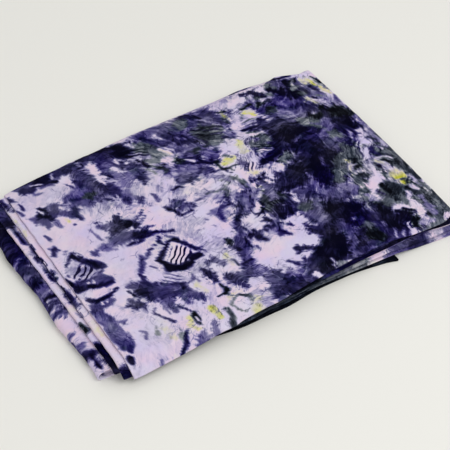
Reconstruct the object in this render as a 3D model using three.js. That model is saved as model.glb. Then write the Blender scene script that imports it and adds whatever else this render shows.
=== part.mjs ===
/**
 * A folded adire cloth: tie-dyed cotton, 4.57 m long and 1.16 m wide.
 *
 * The cloth is folded in four lengthwise, which makes a strip 290 mm wide, and the strip is then
 * laid back and forth on itself in eleven legs. The strip is one solid here: its four plies lie
 * close together, and its legs lie a little apart. The last five legs are tucked inside the tall
 * fold at the left end of the packet.
 *
 * Frame: millimetres, +X along the packet, +Y away from the open near side, +Z up. The origin is
 * the middle of the packet's footprint, on the surface that it lies on.
 */
import * as THREE from "three";

// Driving dimensions, in millimetres.
const STRIP_THICKNESS = 1; // four plies of cotton, pressed together
const LEG_PITCH = 1.75; // height from one leg of the strip to the next
const DROOP_REACH = 36; // how far past an edge a leg takes to come down
const TALL_FOLD_DEPTH = 5; // bulge of the fold that holds the last five legs
const NEAR_BOW_PLACE = 0.7; // share of a leg, from its left end, where its near edge bows most
const FAR_BOW_PLACE = 0.5;

// How finely the strip is cut into flat facets.
const ROW_PLACES = [-172, -100, 0, 80, 118, 134, 150, 172]; // X of the rows of every leg
const ROW_MARGIN = 6; // from a row to the crease that ends its leg
const COLUMN_SHARES = [0, 0.015, 0.035, 0.06, 0.1, 0.16, 0.28, 0.45, 0.62, 0.8, 0.89, 0.95, 0.985, 1];
const TIGHT_FOLD_STEPS = 4;
const TALL_FOLD_STEPS = 6;

const COTTON = { name: "dyed_cotton", color: 0x6f6796, roughness: 0.85, metalness: 0 };

/**
 * Where the strip turns, in the order in which it runs, from the free end on top to the free end
 * inside. xNear and xFar are the ends of the crease on the near and far edges of the strip.
 */
const CREASES = [
  { side: "left", xNear: -200, xFar: -199, yNear: -149, yFar: 145 },
  { side: "right", xNear: 203, xFar: 208, yNear: -145, yFar: 148 },
  { side: "left", xNear: -207, xFar: -205, yNear: -144, yFar: 145 },
  { side: "right", xNear: 205, xFar: 209, yNear: -147, yFar: 147 },
  { side: "left", xNear: -212, xFar: -218, yNear: -135, yFar: 142 },
  { side: "right", xNear: 203, xFar: 208, yNear: -150, yFar: 143 },
  { side: "left", xNear: -222, xFar: -228, yNear: -127, yFar: 139 },
  { side: "right", xNear: 116, xFar: 128, yNear: -152, yFar: 136 },
  { side: "left", xNear: -217, xFar: -223, yNear: -123, yFar: 136 },
  { side: "right", xNear: 201, xFar: 206, yNear: -153, yFar: 139 },
  { side: "left", xNear: -218, xFar: -224, yNear: -125, yFar: 135 },
  { side: "right", xNear: 194, xFar: 202, yNear: -147, yFar: 141 },
];

/** The legs between those creases: level 0 is the top one, and a bow shifts an edge in between. */
const LEGS = [
  { level: 0, nearBow: 8, farBow: 12 },
  { level: 1, nearBow: 6, farBow: 10 },
  { level: 2, nearBow: 4, farBow: 9 },
  { level: 3, nearBow: 2, farBow: 8 },
  { level: 4, nearBow: 1, farBow: 7 },
  { level: 5, nearBow: 0, farBow: 6 },
  { level: 10, nearBow: 3, farBow: 6 },
  { level: 9, nearBow: 2, farBow: 5 },
  { level: 8, nearBow: 1, farBow: 5 },
  { level: 7, nearBow: 0, farBow: 4 },
  { level: 6, nearBow: 0, farBow: 4 },
];

/** Soft swells and hollows of the pile: a share of the pitch gained or lost around a point. */
const SWELLS = [
  { x: 120, y: 90, radius: 110, gain: 0.1 },
  { x: -90, y: 20, radius: 120, gain: 0.07 },
  { x: 10, y: -70, radius: 80, gain: -0.08 },
  { x: 175, y: -60, radius: 70, gain: 0.08 },
  { x: -150, y: 110, radius: 60, gain: -0.08 },
];

/** A smooth step from 0 to 1 as t goes from 0 to 1. */
function smoothStep(t) {
  const s = THREE.MathUtils.clamp(t, 0, 1);
  return s * s * (3 - 2 * s);
}

/** How far a value lies outside a range, and 0 inside it. */
function outside(value, low, high) {
  return Math.max(low - value, value - high, 0);
}

/** A hump that is 1 at a share of the way along a leg and 0 at both its ends. */
function hump(fromLeft, place) {
  return Math.sin(Math.PI * fromLeft ** (Math.log(0.5) / Math.log(place))) ** 2;
}

/** The outline of one leg, seen from above, between the two creases that end it. */
class LegOutline {
  constructor(leg, start, end) {
    this.leg = leg;
    this.left = start.side === "left" ? start : end;
    this.right = start.side === "left" ? end : start;
    this.runsRight = start.side === "left";
  }

  /** The near and far edges at a share of the way from the left end. */
  edges(fromLeft) {
    const near = THREE.MathUtils.lerp(this.left.yNear, this.right.yNear, fromLeft);
    const far = THREE.MathUtils.lerp(this.left.yFar, this.right.yFar, fromLeft);
    return {
      near: near + this.leg.nearBow * hump(fromLeft, NEAR_BOW_PLACE),
      far: far + this.leg.farBow * hump(fromLeft, FAR_BOW_PLACE),
    };
  }

  /** The left and right ends at a share of the way across from the near edge. */
  ends(across) {
    return {
      low: THREE.MathUtils.lerp(this.left.xNear, this.left.xFar, across),
      high: THREE.MathUtils.lerp(this.right.xNear, this.right.xFar, across),
    };
  }

  /** The point at a share of the way from the left end and across from the near edge. */
  point(fromLeft, across) {
    const { near, far } = this.edges(fromLeft);
    const { low, high } = this.ends(across);
    return new THREE.Vector2(
      THREE.MathUtils.lerp(low, high, fromLeft),
      THREE.MathUtils.lerp(near, far, across),
    );
  }

  /** How far a point lies outside this outline. */
  distance(x, y) {
    const length = this.right.xNear - this.left.xNear;
    const { near, far } = this.edges(THREE.MathUtils.clamp((x - this.left.xNear) / length, 0, 1));
    const { low, high } = this.ends(THREE.MathUtils.clamp((y - near) / (far - near), 0, 1));
    return Math.hypot(outside(x, low, high), outside(y, near, far));
  }

  /** How much of this leg's height a leg that lies over it feels: 1 over it, 0 well past it. */
  lift(x, y) {
    return 1 - smoothStep(this.distance(x, y) / DROOP_REACH);
  }
}

/** The pitch of the legs at a point, with the swells of the pile. */
function pitchAt(x, y) {
  let share = 1;
  for (const swell of SWELLS) {
    const distance = Math.hypot(x - swell.x, y - swell.y) / swell.radius;
    share += swell.gain * Math.exp(-distance * distance);
  }
  return LEG_PITCH * share;
}

/** The height of a leg's middle surface: each leg rides on the legs that lie under it. */
function heightOf(outlines, level, x, y) {
  let height = STRIP_THICKNESS / 2;
  for (const outline of outlines) {
    if (outline.leg.level > level) {
      height += pitchAt(x, y) * outline.lift(x, y);
    }
  }
  return height;
}

/** How far from the left end of its leg each row lies: all legs share the same places. */
function rowShares(outline) {
  const { left, right, runsRight } = outline;
  const low = Math.max(left.xNear, left.xFar) + ROW_MARGIN;
  const high = Math.min(right.xNear, right.xFar) - ROW_MARGIN;
  const places = ROW_PLACES.filter((x) => x > low && x < high);
  const shares = [0, ...places.map((x) => (x - left.xNear) / (right.xNear - left.xNear)), 1];
  return runsRight ? shares : shares.reverse();
}

/** The rows of one leg: at each row, the middle of the strip and the way its dyed face looks. */
function legRows(outlines, index) {
  const face = new THREE.Vector3(0, 0, index % 2 === 0 ? 1 : -1);
  const outline = outlines[index];
  return rowShares(outline).map((fromLeft) =>
    COLUMN_SHARES.map((across) => {
      const { x, y } = outline.point(fromLeft, across);
      const z = heightOf(outlines, outline.leg.level, x, y);
      return { middle: new THREE.Vector3(x, y, z), face };
    }),
  );
}

/** The rows of the fold between two legs, without its two ends, which are rows of the legs. */
function foldRows(before, after, side) {
  const outward = side === "left" ? -1 : 1;
  const tall = Math.abs(before.leg.level - after.leg.level) > 1;
  const steps = tall ? TALL_FOLD_STEPS : TIGHT_FOLD_STEPS;
  const last = before.rows[before.rows.length - 1];
  const first = after.rows[0];
  const rows = [];
  for (let step = 1; step < steps; step += 1) {
    const angle = Math.PI * (0.5 - step / steps);
    rows.push(last.map((from, column) => {
      const to = first[column];
      const rise = (from.middle.z - to.middle.z) / 2;
      const depth = tall ? TALL_FOLD_DEPTH : Math.abs(rise);
      const middle = new THREE.Vector3(
        from.middle.x + outward * depth * Math.cos(angle),
        from.middle.y,
        to.middle.z + rise + rise * Math.sin(angle),
      );
      const turn = from.face.z * Math.sign(rise);
      const normal = new THREE.Vector3(outward * Math.cos(angle) / depth, 0, Math.sin(angle) / rise);
      return { middle, face: normal.normalize().multiplyScalar(turn) };
    }));
  }
  return rows;
}

/** Every row of the strip, from the free end on top to the free end inside. */
function stripRows() {
  const outlines = LEGS.map((leg, i) => new LegOutline(leg, CREASES[i], CREASES[i + 1]));
  const legs = outlines.map((outline, i) => ({ leg: outline.leg, rows: legRows(outlines, i) }));
  return legs.flatMap((current, i) => {
    const next = legs[i + 1];
    return next ? [...current.rows, ...foldRows(current, next, CREASES[i + 1].side)] : current.rows;
  });
}

/** A closed solid of the strip: two faces, the two long edges and the two cut ends. */
function stripGeometry(rows, thickness) {
  const columns = rows[0].length;
  const positions = [];
  for (const way of [1, -1]) {
    for (const row of rows) {
      for (const { middle, face } of row) {
        positions.push(...middle.clone().addScaledVector(face, (way * thickness) / 2).toArray());
      }
    }
  }
  const dyed = (row, column) => row * columns + column;
  const back = (row, column) => (rows.length + row) * columns + column;
  const indices = [];
  const quad = (a, b, c, d) => indices.push(a, b, c, a, c, d);
  const lastRow = rows.length - 1;
  const lastColumn = columns - 1;
  for (let r = 0; r < lastRow; r += 1) {
    for (let c = 0; c < lastColumn; c += 1) {
      quad(dyed(r, c), dyed(r + 1, c), dyed(r + 1, c + 1), dyed(r, c + 1));
      quad(back(r, c), back(r, c + 1), back(r + 1, c + 1), back(r + 1, c));
    }
    quad(dyed(r, 0), back(r, 0), back(r + 1, 0), dyed(r + 1, 0));
    quad(dyed(r, lastColumn), dyed(r + 1, lastColumn), back(r + 1, lastColumn), back(r, lastColumn));
  }
  for (let c = 0; c < lastColumn; c += 1) {
    quad(dyed(0, c), dyed(0, c + 1), back(0, c + 1), back(0, c));
    quad(dyed(lastRow, c), back(lastRow, c), back(lastRow, c + 1), dyed(lastRow, c + 1));
  }
  const geometry = new THREE.BufferGeometry();
  geometry.setAttribute("position", new THREE.Float32BufferAttribute(positions, 3));
  geometry.setIndex(indices);
  geometry.computeVertexNormals();
  return geometry;
}

/** Moves a geometry so that the middle of its footprint is at the origin, on the surface. */
function centreOnFootprint(geometry) {
  geometry.computeBoundingBox();
  const { min, max } = geometry.boundingBox;
  return geometry.translate(-(min.x + max.x) / 2, -(min.y + max.y) / 2, -min.z);
}

/** The whole folded cloth, as one named mesh. */
function adireCloth() {
  const geometry = centreOnFootprint(stripGeometry(stripRows(), STRIP_THICKNESS));
  const mesh = new THREE.Mesh(geometry, new THREE.MeshStandardMaterial(COTTON));
  mesh.name = "adire_cloth";
  return mesh;
}

const packet = new THREE.Group();
packet.name = "folded_adire_cloth";
packet.add(adireCloth());

export default packet;
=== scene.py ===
"""A folded adire cloth: tie-dyed cotton, laid back and forth into a flat, uneven packet.

The cloth is 4.57 m long and 1.16 m wide. It is folded in four lengthwise, with the folded edges
towards the near side, and the strip is then laid back and forth in eleven legs. Lengths in the
tables are millimetres in the plan's own frame; the mesh is in metres, in the frame of the model.
"""

import logging
import math
from dataclasses import dataclass, field
from enum import Enum
from typing import Iterable, Sequence

import bpy
import numpy as np
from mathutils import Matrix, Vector


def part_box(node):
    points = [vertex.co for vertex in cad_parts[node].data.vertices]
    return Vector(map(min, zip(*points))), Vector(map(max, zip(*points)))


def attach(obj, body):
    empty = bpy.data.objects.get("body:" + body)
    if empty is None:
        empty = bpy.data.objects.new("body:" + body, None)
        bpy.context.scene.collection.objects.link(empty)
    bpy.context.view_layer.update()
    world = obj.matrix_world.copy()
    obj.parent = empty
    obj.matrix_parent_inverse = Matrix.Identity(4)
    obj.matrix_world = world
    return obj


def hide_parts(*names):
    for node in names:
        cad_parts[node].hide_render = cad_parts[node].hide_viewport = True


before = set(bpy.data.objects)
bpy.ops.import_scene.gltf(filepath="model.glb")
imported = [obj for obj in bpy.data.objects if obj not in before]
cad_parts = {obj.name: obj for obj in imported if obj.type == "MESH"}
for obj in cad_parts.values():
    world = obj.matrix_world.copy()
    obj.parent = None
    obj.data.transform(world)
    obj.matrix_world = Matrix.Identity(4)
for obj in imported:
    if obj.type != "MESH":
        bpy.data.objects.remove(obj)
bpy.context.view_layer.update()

logging.basicConfig(level=logging.INFO, format="%(name)s: %(message)s")
LOG = logging.getLogger("adire")

MM = 0.001
NODE = "adire_cloth"
PIECE = "folded_adire_cloth"
SLOT = "dyed_cotton"
CLOTH_WIDTH = 1.16
CLOTH_LENGTH = 4.57
SEED = 27

Array = np.ndarray
Screen = tuple[int, int, int]
Socket = bpy.types.NodeSocket


# ---- The plan of the packet ----


class Side(Enum):
    """The end of the packet at which the strip turns."""

    LEFT = -1
    RIGHT = 1


class Edge(Enum):
    """A long edge of the strip."""

    NEAR = -1
    FAR = 1


@dataclass(frozen=True)
class Crease:
    """Where the strip turns: the ends of the crease on the strip's edges, and its outward bow."""

    side: Side
    x_near: float
    x_far: float
    y_near: float
    y_far: float
    bow: float = 0
    waver: float = 0.22
    waver_turns: tuple[float, float] = (86, 37)
    slow_share: float = 0.8

    def line(self, across: Array) -> Array:
        """The crease seen from above, slightly bowed and wavering.

        Args:
            across: shares of the way across the strip, from its near edge.

        Returns:
            The X at each share.
        """
        quick, slow = self.waver_turns
        hump = np.sin(math.pi * np.clip(across, 0, 1))
        wave = np.sin(quick * across + self.x_near) + self.slow_share * np.sin(slow * across + self.y_far)
        shift = self.side.value * self.bow * hump + self.waver * wave * np.minimum(1, 3 * hump)
        return self.x_near + (self.x_far - self.x_near) * across + shift


@dataclass(frozen=True)
class Leg:
    """One leg of the strip. Level 0 is the top one, and a bow shifts an edge between creases."""

    level: int
    near_bow: float
    far_bow: float


@dataclass(frozen=True)
class Tug:
    """A place where the edges of some levels are pulled out (plus) or in (minus)."""

    edge: Edge
    levels: tuple[int, int]
    x: float
    reach: float
    pull: float


@dataclass(frozen=True)
class Swell:
    """A soft swell or hollow of the pile: a share of the pitch gained or lost around a point."""

    x: float
    y: float
    radius: float
    gain: float


@dataclass(frozen=True)
class Ridge:
    """A soft ridge in the top leg (or a trough, below 0), which fades towards its second end."""

    x_from: float
    y_from: float
    x_to: float
    y_to: float
    width: float
    height: float


CREASES = (
    Crease(Side.LEFT, -200, -199, -149, 143, 1),
    Crease(Side.RIGHT, 203, 208, -145, 148, 3),
    Crease(Side.LEFT, -207, -205, -144, 142),
    Crease(Side.RIGHT, 205, 209, -147, 147, 3.5),
    Crease(Side.LEFT, -212, -217, -135, 138),
    Crease(Side.RIGHT, 203, 208, -150, 143, 3),
    Crease(Side.LEFT, -222, -227, -127, 134),
    Crease(Side.RIGHT, 116, 128, -152, 136),
    Crease(Side.LEFT, -217, -223, -123, 136),
    Crease(Side.RIGHT, 201, 206, -153, 139),
    Crease(Side.LEFT, -218, -224, -125, 135),
    Crease(Side.RIGHT, 194, 202, -147, 141),
)
LEGS = (
    Leg(0, 8, 12),
    Leg(1, 6, 10),
    Leg(2, 4, 9),
    Leg(3, 2, 8),
    Leg(4, 1, 7),
    Leg(5, 0, 6),
    Leg(10, 3, 6),
    Leg(9, 2, 5),
    Leg(8, 1, 5),
    Leg(7, 0, 4),
    Leg(6, 0, 4),
)
TUGS = (
    Tug(Edge.FAR, (0, 4), 116, 18, 8),
    Tug(Edge.FAR, (0, 4), 142, 14, 3.5),
    Tug(Edge.FAR, (0, 4), 164, 11, 9),
    Tug(Edge.FAR, (0, 2), 186, 8, -5),
    Tug(Edge.FAR, (0, 4), 90, 18, 2.5),
    Tug(Edge.FAR, (0, 10), -208, 15, -5),
    Tug(Edge.FAR, (0, 3), -150, 26, 3),
    Tug(Edge.FAR, (0, 3), -113, 14, 3),
    Tug(Edge.FAR, (0, 3), -28, 14, 2),
    Tug(Edge.NEAR, (0, 1), 206, 14, -10),
    Tug(Edge.NEAR, (0, 0), -25, 16, 1.2),
    Tug(Edge.NEAR, (0, 0), -85, 9, 1.2),
    Tug(Edge.NEAR, (1, 3), 150, 24, -5),
    Tug(Edge.NEAR, (4, 8), 176, 18, 1.2),
    Tug(Edge.NEAR, (4, 10), -68, 44, 6.5),
    Tug(Edge.NEAR, (5, 10), -15, 24, 3.5),
    Tug(Edge.NEAR, (8, 10), 72, 42, -3.5),
    Tug(Edge.NEAR, (9, 10), 119, 9, 2.5),
)
SWELLS = (
    Swell(120, 110, 100, 0.14),
    Swell(-90, 20, 120, 0.07),
    Swell(10, -70, 80, -0.08),
    Swell(175, -60, 70, 0.08),
    Swell(-150, 110, 60, -0.08),
)
RIDGES = (
    # Long soft creases across the whole top.
    Ridge(-195, 60, -60, 95, 7, 1.0),
    Ridge(-60, 150, 35, 60, 8, 1.3),
    Ridge(40, 55, -20, -70, 6, 1.1),
    Ridge(-20, -70, -60, -135, 8, -0.5),
    Ridge(60, 150, 150, 20, 10, 1.4),
    Ridge(150, 20, 190, -60, 8, -0.5),
    Ridge(90, -130, 160, -60, 9, 1.2),
    Ridge(-190, -30, -90, -60, 8, -0.5),
    Ridge(-120, 20, -70, -40, 6, 0.9),
    Ridge(120, -40, 60, -62, 7, 1.0),
    Ridge(60, -76, 118, -132, 7, -0.5),
    # Slanting creases along the far edge.
    Ridge(-198, 122, -122, 130, 6, 0.9),
    Ridge(-150, 100, -104, 30, 7, -0.5),
    Ridge(-96, 150, -66, 100, 4, 1.1),
    Ridge(-44, 150, -12, 100, 4, 1.2),
    Ridge(-2, 148, 22, 100, 4, 1.0),
    Ridge(30, 150, 64, 106, 4, 1.1),
    Ridge(104, 148, 130, 122, 4, 0.9),
    Ridge(150, 152, 172, 112, 5, 1.2),
    Ridge(186, 146, 200, 100, 4, 0.9),
    # Creases that run up from an arc at the right.
    Ridge(134, -39, 144, -31, 3.5, 1.0),
    Ridge(144, -31, 156, -34, 3.5, 1.0),
    Ridge(146, -20, 160, 24, 3.5, 0.9),
    Ridge(160, -22, 178, 22, 3.5, 1.0),
    Ridge(172, -24, 196, 16, 3.5, 0.9),
    Ridge(196, 60, 200, -90, 5, 0.8),
    # Short puckers along the near edge.
    Ridge(-182, -150, -170, -112, 5, 0.8),
    Ridge(-112, -150, -100, -120, 4, 0.8),
    Ridge(-60, -148, -42, -112, 4, 0.8),
    Ridge(18, -142, 30, -104, 5, 0.9),
    Ridge(80, -138, 96, -100, 5, 0.9),
    Ridge(150, -140, 158, -108, 4, 0.8),
    # Short puckers at the left end.
    Ridge(-198, -60, -150, -76, 5, 0.8),
    Ridge(-198, 8, -164, 14, 4, 0.7),
    Ridge(-198, -112, -168, -120, 5, 0.7),
)


def smooth_step(value: Array) -> Array:
    """A smooth step from 0 to 1 as the value goes from 0 to 1."""
    share = np.clip(value, 0, 1)
    return share * share * (3 - 2 * share)


def outside(value: Array, low: Array, high: Array) -> Array:
    """How far a value lies outside a range, and 0 inside it."""
    return np.maximum(np.maximum(low - value, value - high), 0)


def bell(distance: Array, reach: float) -> Array:
    """A bell that is 1 at no distance and falls away over the reach."""
    return np.exp(-((distance / reach) ** 2))


def crowded(count: int, crowding: float) -> Array:
    """Shares from 0 to 1 that lie closer together towards both ends."""
    share = np.linspace(0, 1, count)
    return share - crowding * np.sin(2 * math.pi * share) / (2 * math.pi)


def between(low: Array | float, high: Array | float, share: Array | float) -> Array:
    """The value at a share of the way from low to high."""
    return low + (high - low) * share


@dataclass
class LegOutline:
    """The outline of one leg, seen from above, between the two creases that end it."""

    leg: Leg
    start: Crease
    end: Crease
    near_bow_place: float = 0.7
    far_bow_place: float = 0.5
    droop_reach: float = 30

    def __post_init__(self) -> None:
        """Sorts the two creases into left and right."""
        self.runs_right = self.start.side is Side.LEFT
        self.left = self.start if self.runs_right else self.end
        self.right = self.end if self.runs_right else self.start

    def _hump(self, from_left: Array, place: float) -> Array:
        """A hump that is 1 at a share of the way along the leg and 0 at both its ends."""
        return np.sin(math.pi * from_left ** (math.log(0.5) / math.log(place))) ** 2

    def _pull(self, edge: Edge, from_left: Array) -> Array:
        """How far the tugs pull an edge outwards.

        Args:
            edge: the edge that is pulled.
            from_left: shares of the way from the left end.

        Returns:
            The pull at each share.
        """
        x = between(self.left.x_near, self.right.x_near, from_left)
        tugs = (t for t in TUGS if t.edge is edge and t.levels[0] <= self.leg.level <= t.levels[1])
        return sum((tug.pull * bell(x - tug.x, tug.reach) for tug in tugs), np.zeros_like(x))

    def edges(self, from_left: Array) -> tuple[Array, Array]:
        """The two long edges of the leg.

        Args:
            from_left: shares of the way from the left end.

        Returns:
            The Y of the near edge and of the far edge at each share.
        """
        near = between(self.left.y_near, self.right.y_near, from_left)
        far = between(self.left.y_far, self.right.y_far, from_left)
        near = near + self.leg.near_bow * self._hump(from_left, self.near_bow_place)
        far = far + self.leg.far_bow * self._hump(from_left, self.far_bow_place)
        return near - self._pull(Edge.NEAR, from_left), far + self._pull(Edge.FAR, from_left)

    def ends(self, across: Array) -> tuple[Array, Array]:
        """The X of the left and right ends at a share of the way across from the near edge."""
        return self.left.line(across), self.right.line(across)

    def distance(self, x: Array, y: Array) -> Array:
        """How far points lie outside this outline.

        Args:
            x: the points' X.
            y: the points' Y.

        Returns:
            The distance of each point, 0 inside.
        """
        length = self.right.x_near - self.left.x_near
        near, far = self.edges(np.clip((x - self.left.x_near) / length, 0, 1))
        low, high = self.ends(np.clip((y - near) / (far - near), 0, 1))
        return np.hypot(outside(x, low, high), outside(y, near, far))

    def lift(self, x: Array, y: Array) -> Array:
        """How much of this leg's height a leg over it feels: 1 over it, 0 well past it."""
        return 1 - smooth_step(self.distance(x, y) / self.droop_reach)


@dataclass
class Pile:
    """The eleven legs, each of which rides on the legs that lie under it."""

    strip_thickness: float = 1.1
    leg_pitch: float = 1.75
    unevenness: float = 0.10
    uneven_reach: tuple[float, float] = (47, 61)
    uneven_turn: tuple[float, float] = (1.3, 0.7)
    half_width: float = 150
    fold_fullness: float = 0.75
    fold_reach: float = 12
    end_place: float = 210
    end_reach: float = 20
    end_drop: float = 0.20
    ridge_spread: float = 0.6
    outlines: list[LegOutline] = field(init=False)

    def __post_init__(self) -> None:
        """Lays out the legs between their creases."""
        self.outlines = [LegOutline(leg, *CREASES[i:i + 2]) for i, leg in enumerate(LEGS)]

    def _pitch(self, outline: LegOutline, x: Array, y: Array) -> Array:
        """The height that one leg adds: fuller at its left fold, flatter at the right end.

        Args:
            outline: the leg.
            x: the points' X.
            y: the points' Y.

        Returns:
            The leg's own height at each point.
        """
        share = np.ones_like(x)
        for swell in SWELLS:
            share += swell.gain * bell(np.hypot(x - swell.x, y - swell.y), swell.radius)
        level = outline.leg.level
        along = np.sin(x / self.uneven_reach[0] + self.uneven_turn[0] * level)
        across = np.cos(y / self.uneven_reach[1] - self.uneven_turn[1] * level)
        share += self.unevenness * along * across
        for crease in self._folds_over(outline):
            from_near = smooth_step((y + self.half_width) / (2 * self.half_width))
            line = between(crease.x_near, crease.x_far, from_near)
            share += self.fold_fullness * bell(x - line, self.fold_reach)
        share -= self.end_drop * smooth_step(1 + (x - self.end_place) / self.end_reach)
        return self.leg_pitch * share

    def _folds_over(self, outline: LegOutline) -> Iterable[Crease]:
        """The left creases at which a leg turns up into the leg that lies straight over it.

        Args:
            outline: the leg.

        Yields:
            Its creases, if any.
        """
        index = self.outlines.index(outline)
        for step, crease in ((-1, outline.start), (1, outline.end)):
            other = index + step
            inside = 0 <= other < len(LEGS) and LEGS[other].level == outline.leg.level - 1
            if inside and crease.side is Side.LEFT:
                yield crease

    def height(self, level: int, x: Array, y: Array) -> Array:
        """The height of the middle surface of the leg at a level.

        Args:
            level: the leg's level, 0 for the top one.
            x: the points' X.
            y: the points' Y.

        Returns:
            The height over the surface that the packet lies on.
        """
        height = np.full_like(x, self.strip_thickness / 2)
        for outline in self.outlines:
            if outline.leg.level > level:
                height += self._pitch(outline, x, y) * outline.lift(x, y)
        return height

    def ridges(self, x: Array, y: Array) -> Array:
        """The top ply's own ridges and troughs. Each rises at its start and fades at its end.

        Args:
            x: the points' X.
            y: the points' Y.

        Returns:
            The height that they add at each point.
        """
        height = np.zeros_like(x)
        for ridge in RIDGES:
            along = np.array([ridge.x_to - ridge.x_from, ridge.y_to - ridge.y_from])
            dx, dy = x - ridge.x_from, y - ridge.y_from
            share = np.clip((dx * along[0] + dy * along[1]) / (along @ along), 0, 1)
            distance = np.hypot(dx - share * along[0], dy - share * along[1])
            fade = smooth_step(0.5 + 3 * share) * smooth_step(2.2 * (1 - share))
            height += ridge.height * fade * bell(distance, ridge.width * (1 + self.ridge_spread * share))
        return height


# ---- The cloth: four plies across, eleven legs along ----


class Zone(Enum):
    """The part of the cloth's width that a column lies in."""

    UPPER = 0
    OUTER_BEND = 1
    LOWER = 2
    INSIDE = 3


@dataclass
class Columns:
    """The columns of the cloth, from one selvedge to the other."""

    across: Array
    bulge: Array
    place: Array
    zone: Array
    coarse: Array
    v: Array


@dataclass
class QuarterFold:
    """The section of the strip: the cloth folded in four, both halves' folds at the near edge."""

    ply_gap: float = 0.30
    edge_gap: float = 0.46
    edge_reach: float = 14
    upper_columns: int = 132
    lower_columns: int = 92
    coarse_columns: int = 13
    bend_columns: int = 4
    coarse_crowding: float = 0.8
    fine_crowding: float = 0.3
    strip_width: float = 290

    def _gap(self, across: Array) -> Array:
        """The distance from ply to ply, larger near both edges of the strip."""
        from_edge = np.minimum(across, 1 - across) * self.strip_width
        return between(self.ply_gap, self.edge_gap, bell(from_edge, self.edge_reach))

    def _flat(self, place: float, count: int, outwards: bool, zone: Zone) -> list[Array]:
        """One flat ply. Its coarse columns crowd towards both edges of the strip.

        Args:
            place: its height over the strip's middle, in gaps from ply to ply.
            count: how many columns it has.
            outwards: whether its columns run from near to far.
            zone: the part of the width that it is.

        Returns:
            The fields of Columns, all but the last.
        """
        targets = crowded(self.coarse_columns, self.coarse_crowding)
        across = crowded(count, self.fine_crowding) if count > self.coarse_columns else targets
        coarse = np.zeros(count, bool)
        coarse[[int(np.abs(across - target).argmin()) for target in targets]] = True
        if not outwards:
            across, coarse = across[::-1], coarse[::-1]
        zones = np.full(count, zone.value)
        return [across, np.zeros(count), place * self._gap(across), zones, coarse]

    def _bend(self, edge: Edge, start: float, end: float, zone: Zone) -> list[Array]:
        """The bend that joins two plies at one edge of the strip.

        Args:
            edge: the edge at which it lies.
            start: the place of the ply before it, in gaps from ply to ply.
            end: the place of the ply after it.
            zone: the part of the width that it is.

        Returns:
            The fields of Columns, all but the last.
        """
        across = 0.0 if edge is Edge.NEAR else 1.0
        angle = np.linspace(0, math.pi, self.bend_columns + 2)[1:-1]
        middle, radius = (start + end) / 2, (start - end) / 2
        bulge = edge.value * abs(radius) * self.edge_gap * np.sin(angle)
        place = (middle + radius * np.cos(angle)) * self.edge_gap
        count = len(angle)
        return [np.full(count, across), bulge, place, np.full(count, zone.value), np.ones(count, bool)]

    def columns(self) -> Columns:
        """The whole section, from one selvedge to the other.

        Returns:
            The columns of the upper ply, the lower one, and the two inside.
        """
        parts = [
            self._flat(1.5, self.upper_columns, False, Zone.UPPER),
            self._bend(Edge.NEAR, 1.5, -1.5, Zone.OUTER_BEND),
            self._flat(-1.5, self.lower_columns, True, Zone.LOWER),
            self._bend(Edge.FAR, -1.5, -0.5, Zone.INSIDE),
            self._flat(-0.5, self.coarse_columns, False, Zone.INSIDE),
            self._bend(Edge.NEAR, -0.5, 0.5, Zone.INSIDE),
            self._flat(0.5, self.coarse_columns, True, Zone.INSIDE),
        ]
        across, bulge, place, zone, coarse = (np.concatenate(column) for column in zip(*parts))
        steps = np.hypot(np.diff(across * self.strip_width + bulge), np.diff(place))
        v = np.concatenate([[0], np.cumsum(steps)])
        return Columns(across, bulge, place, zone, coarse, v)


@dataclass
class Rows:
    """Rows of points across the cloth, with their places on the plan and their levels."""

    points: Array
    plan: Array
    level: Array
    coarse: Array
    left_end: Array


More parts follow.
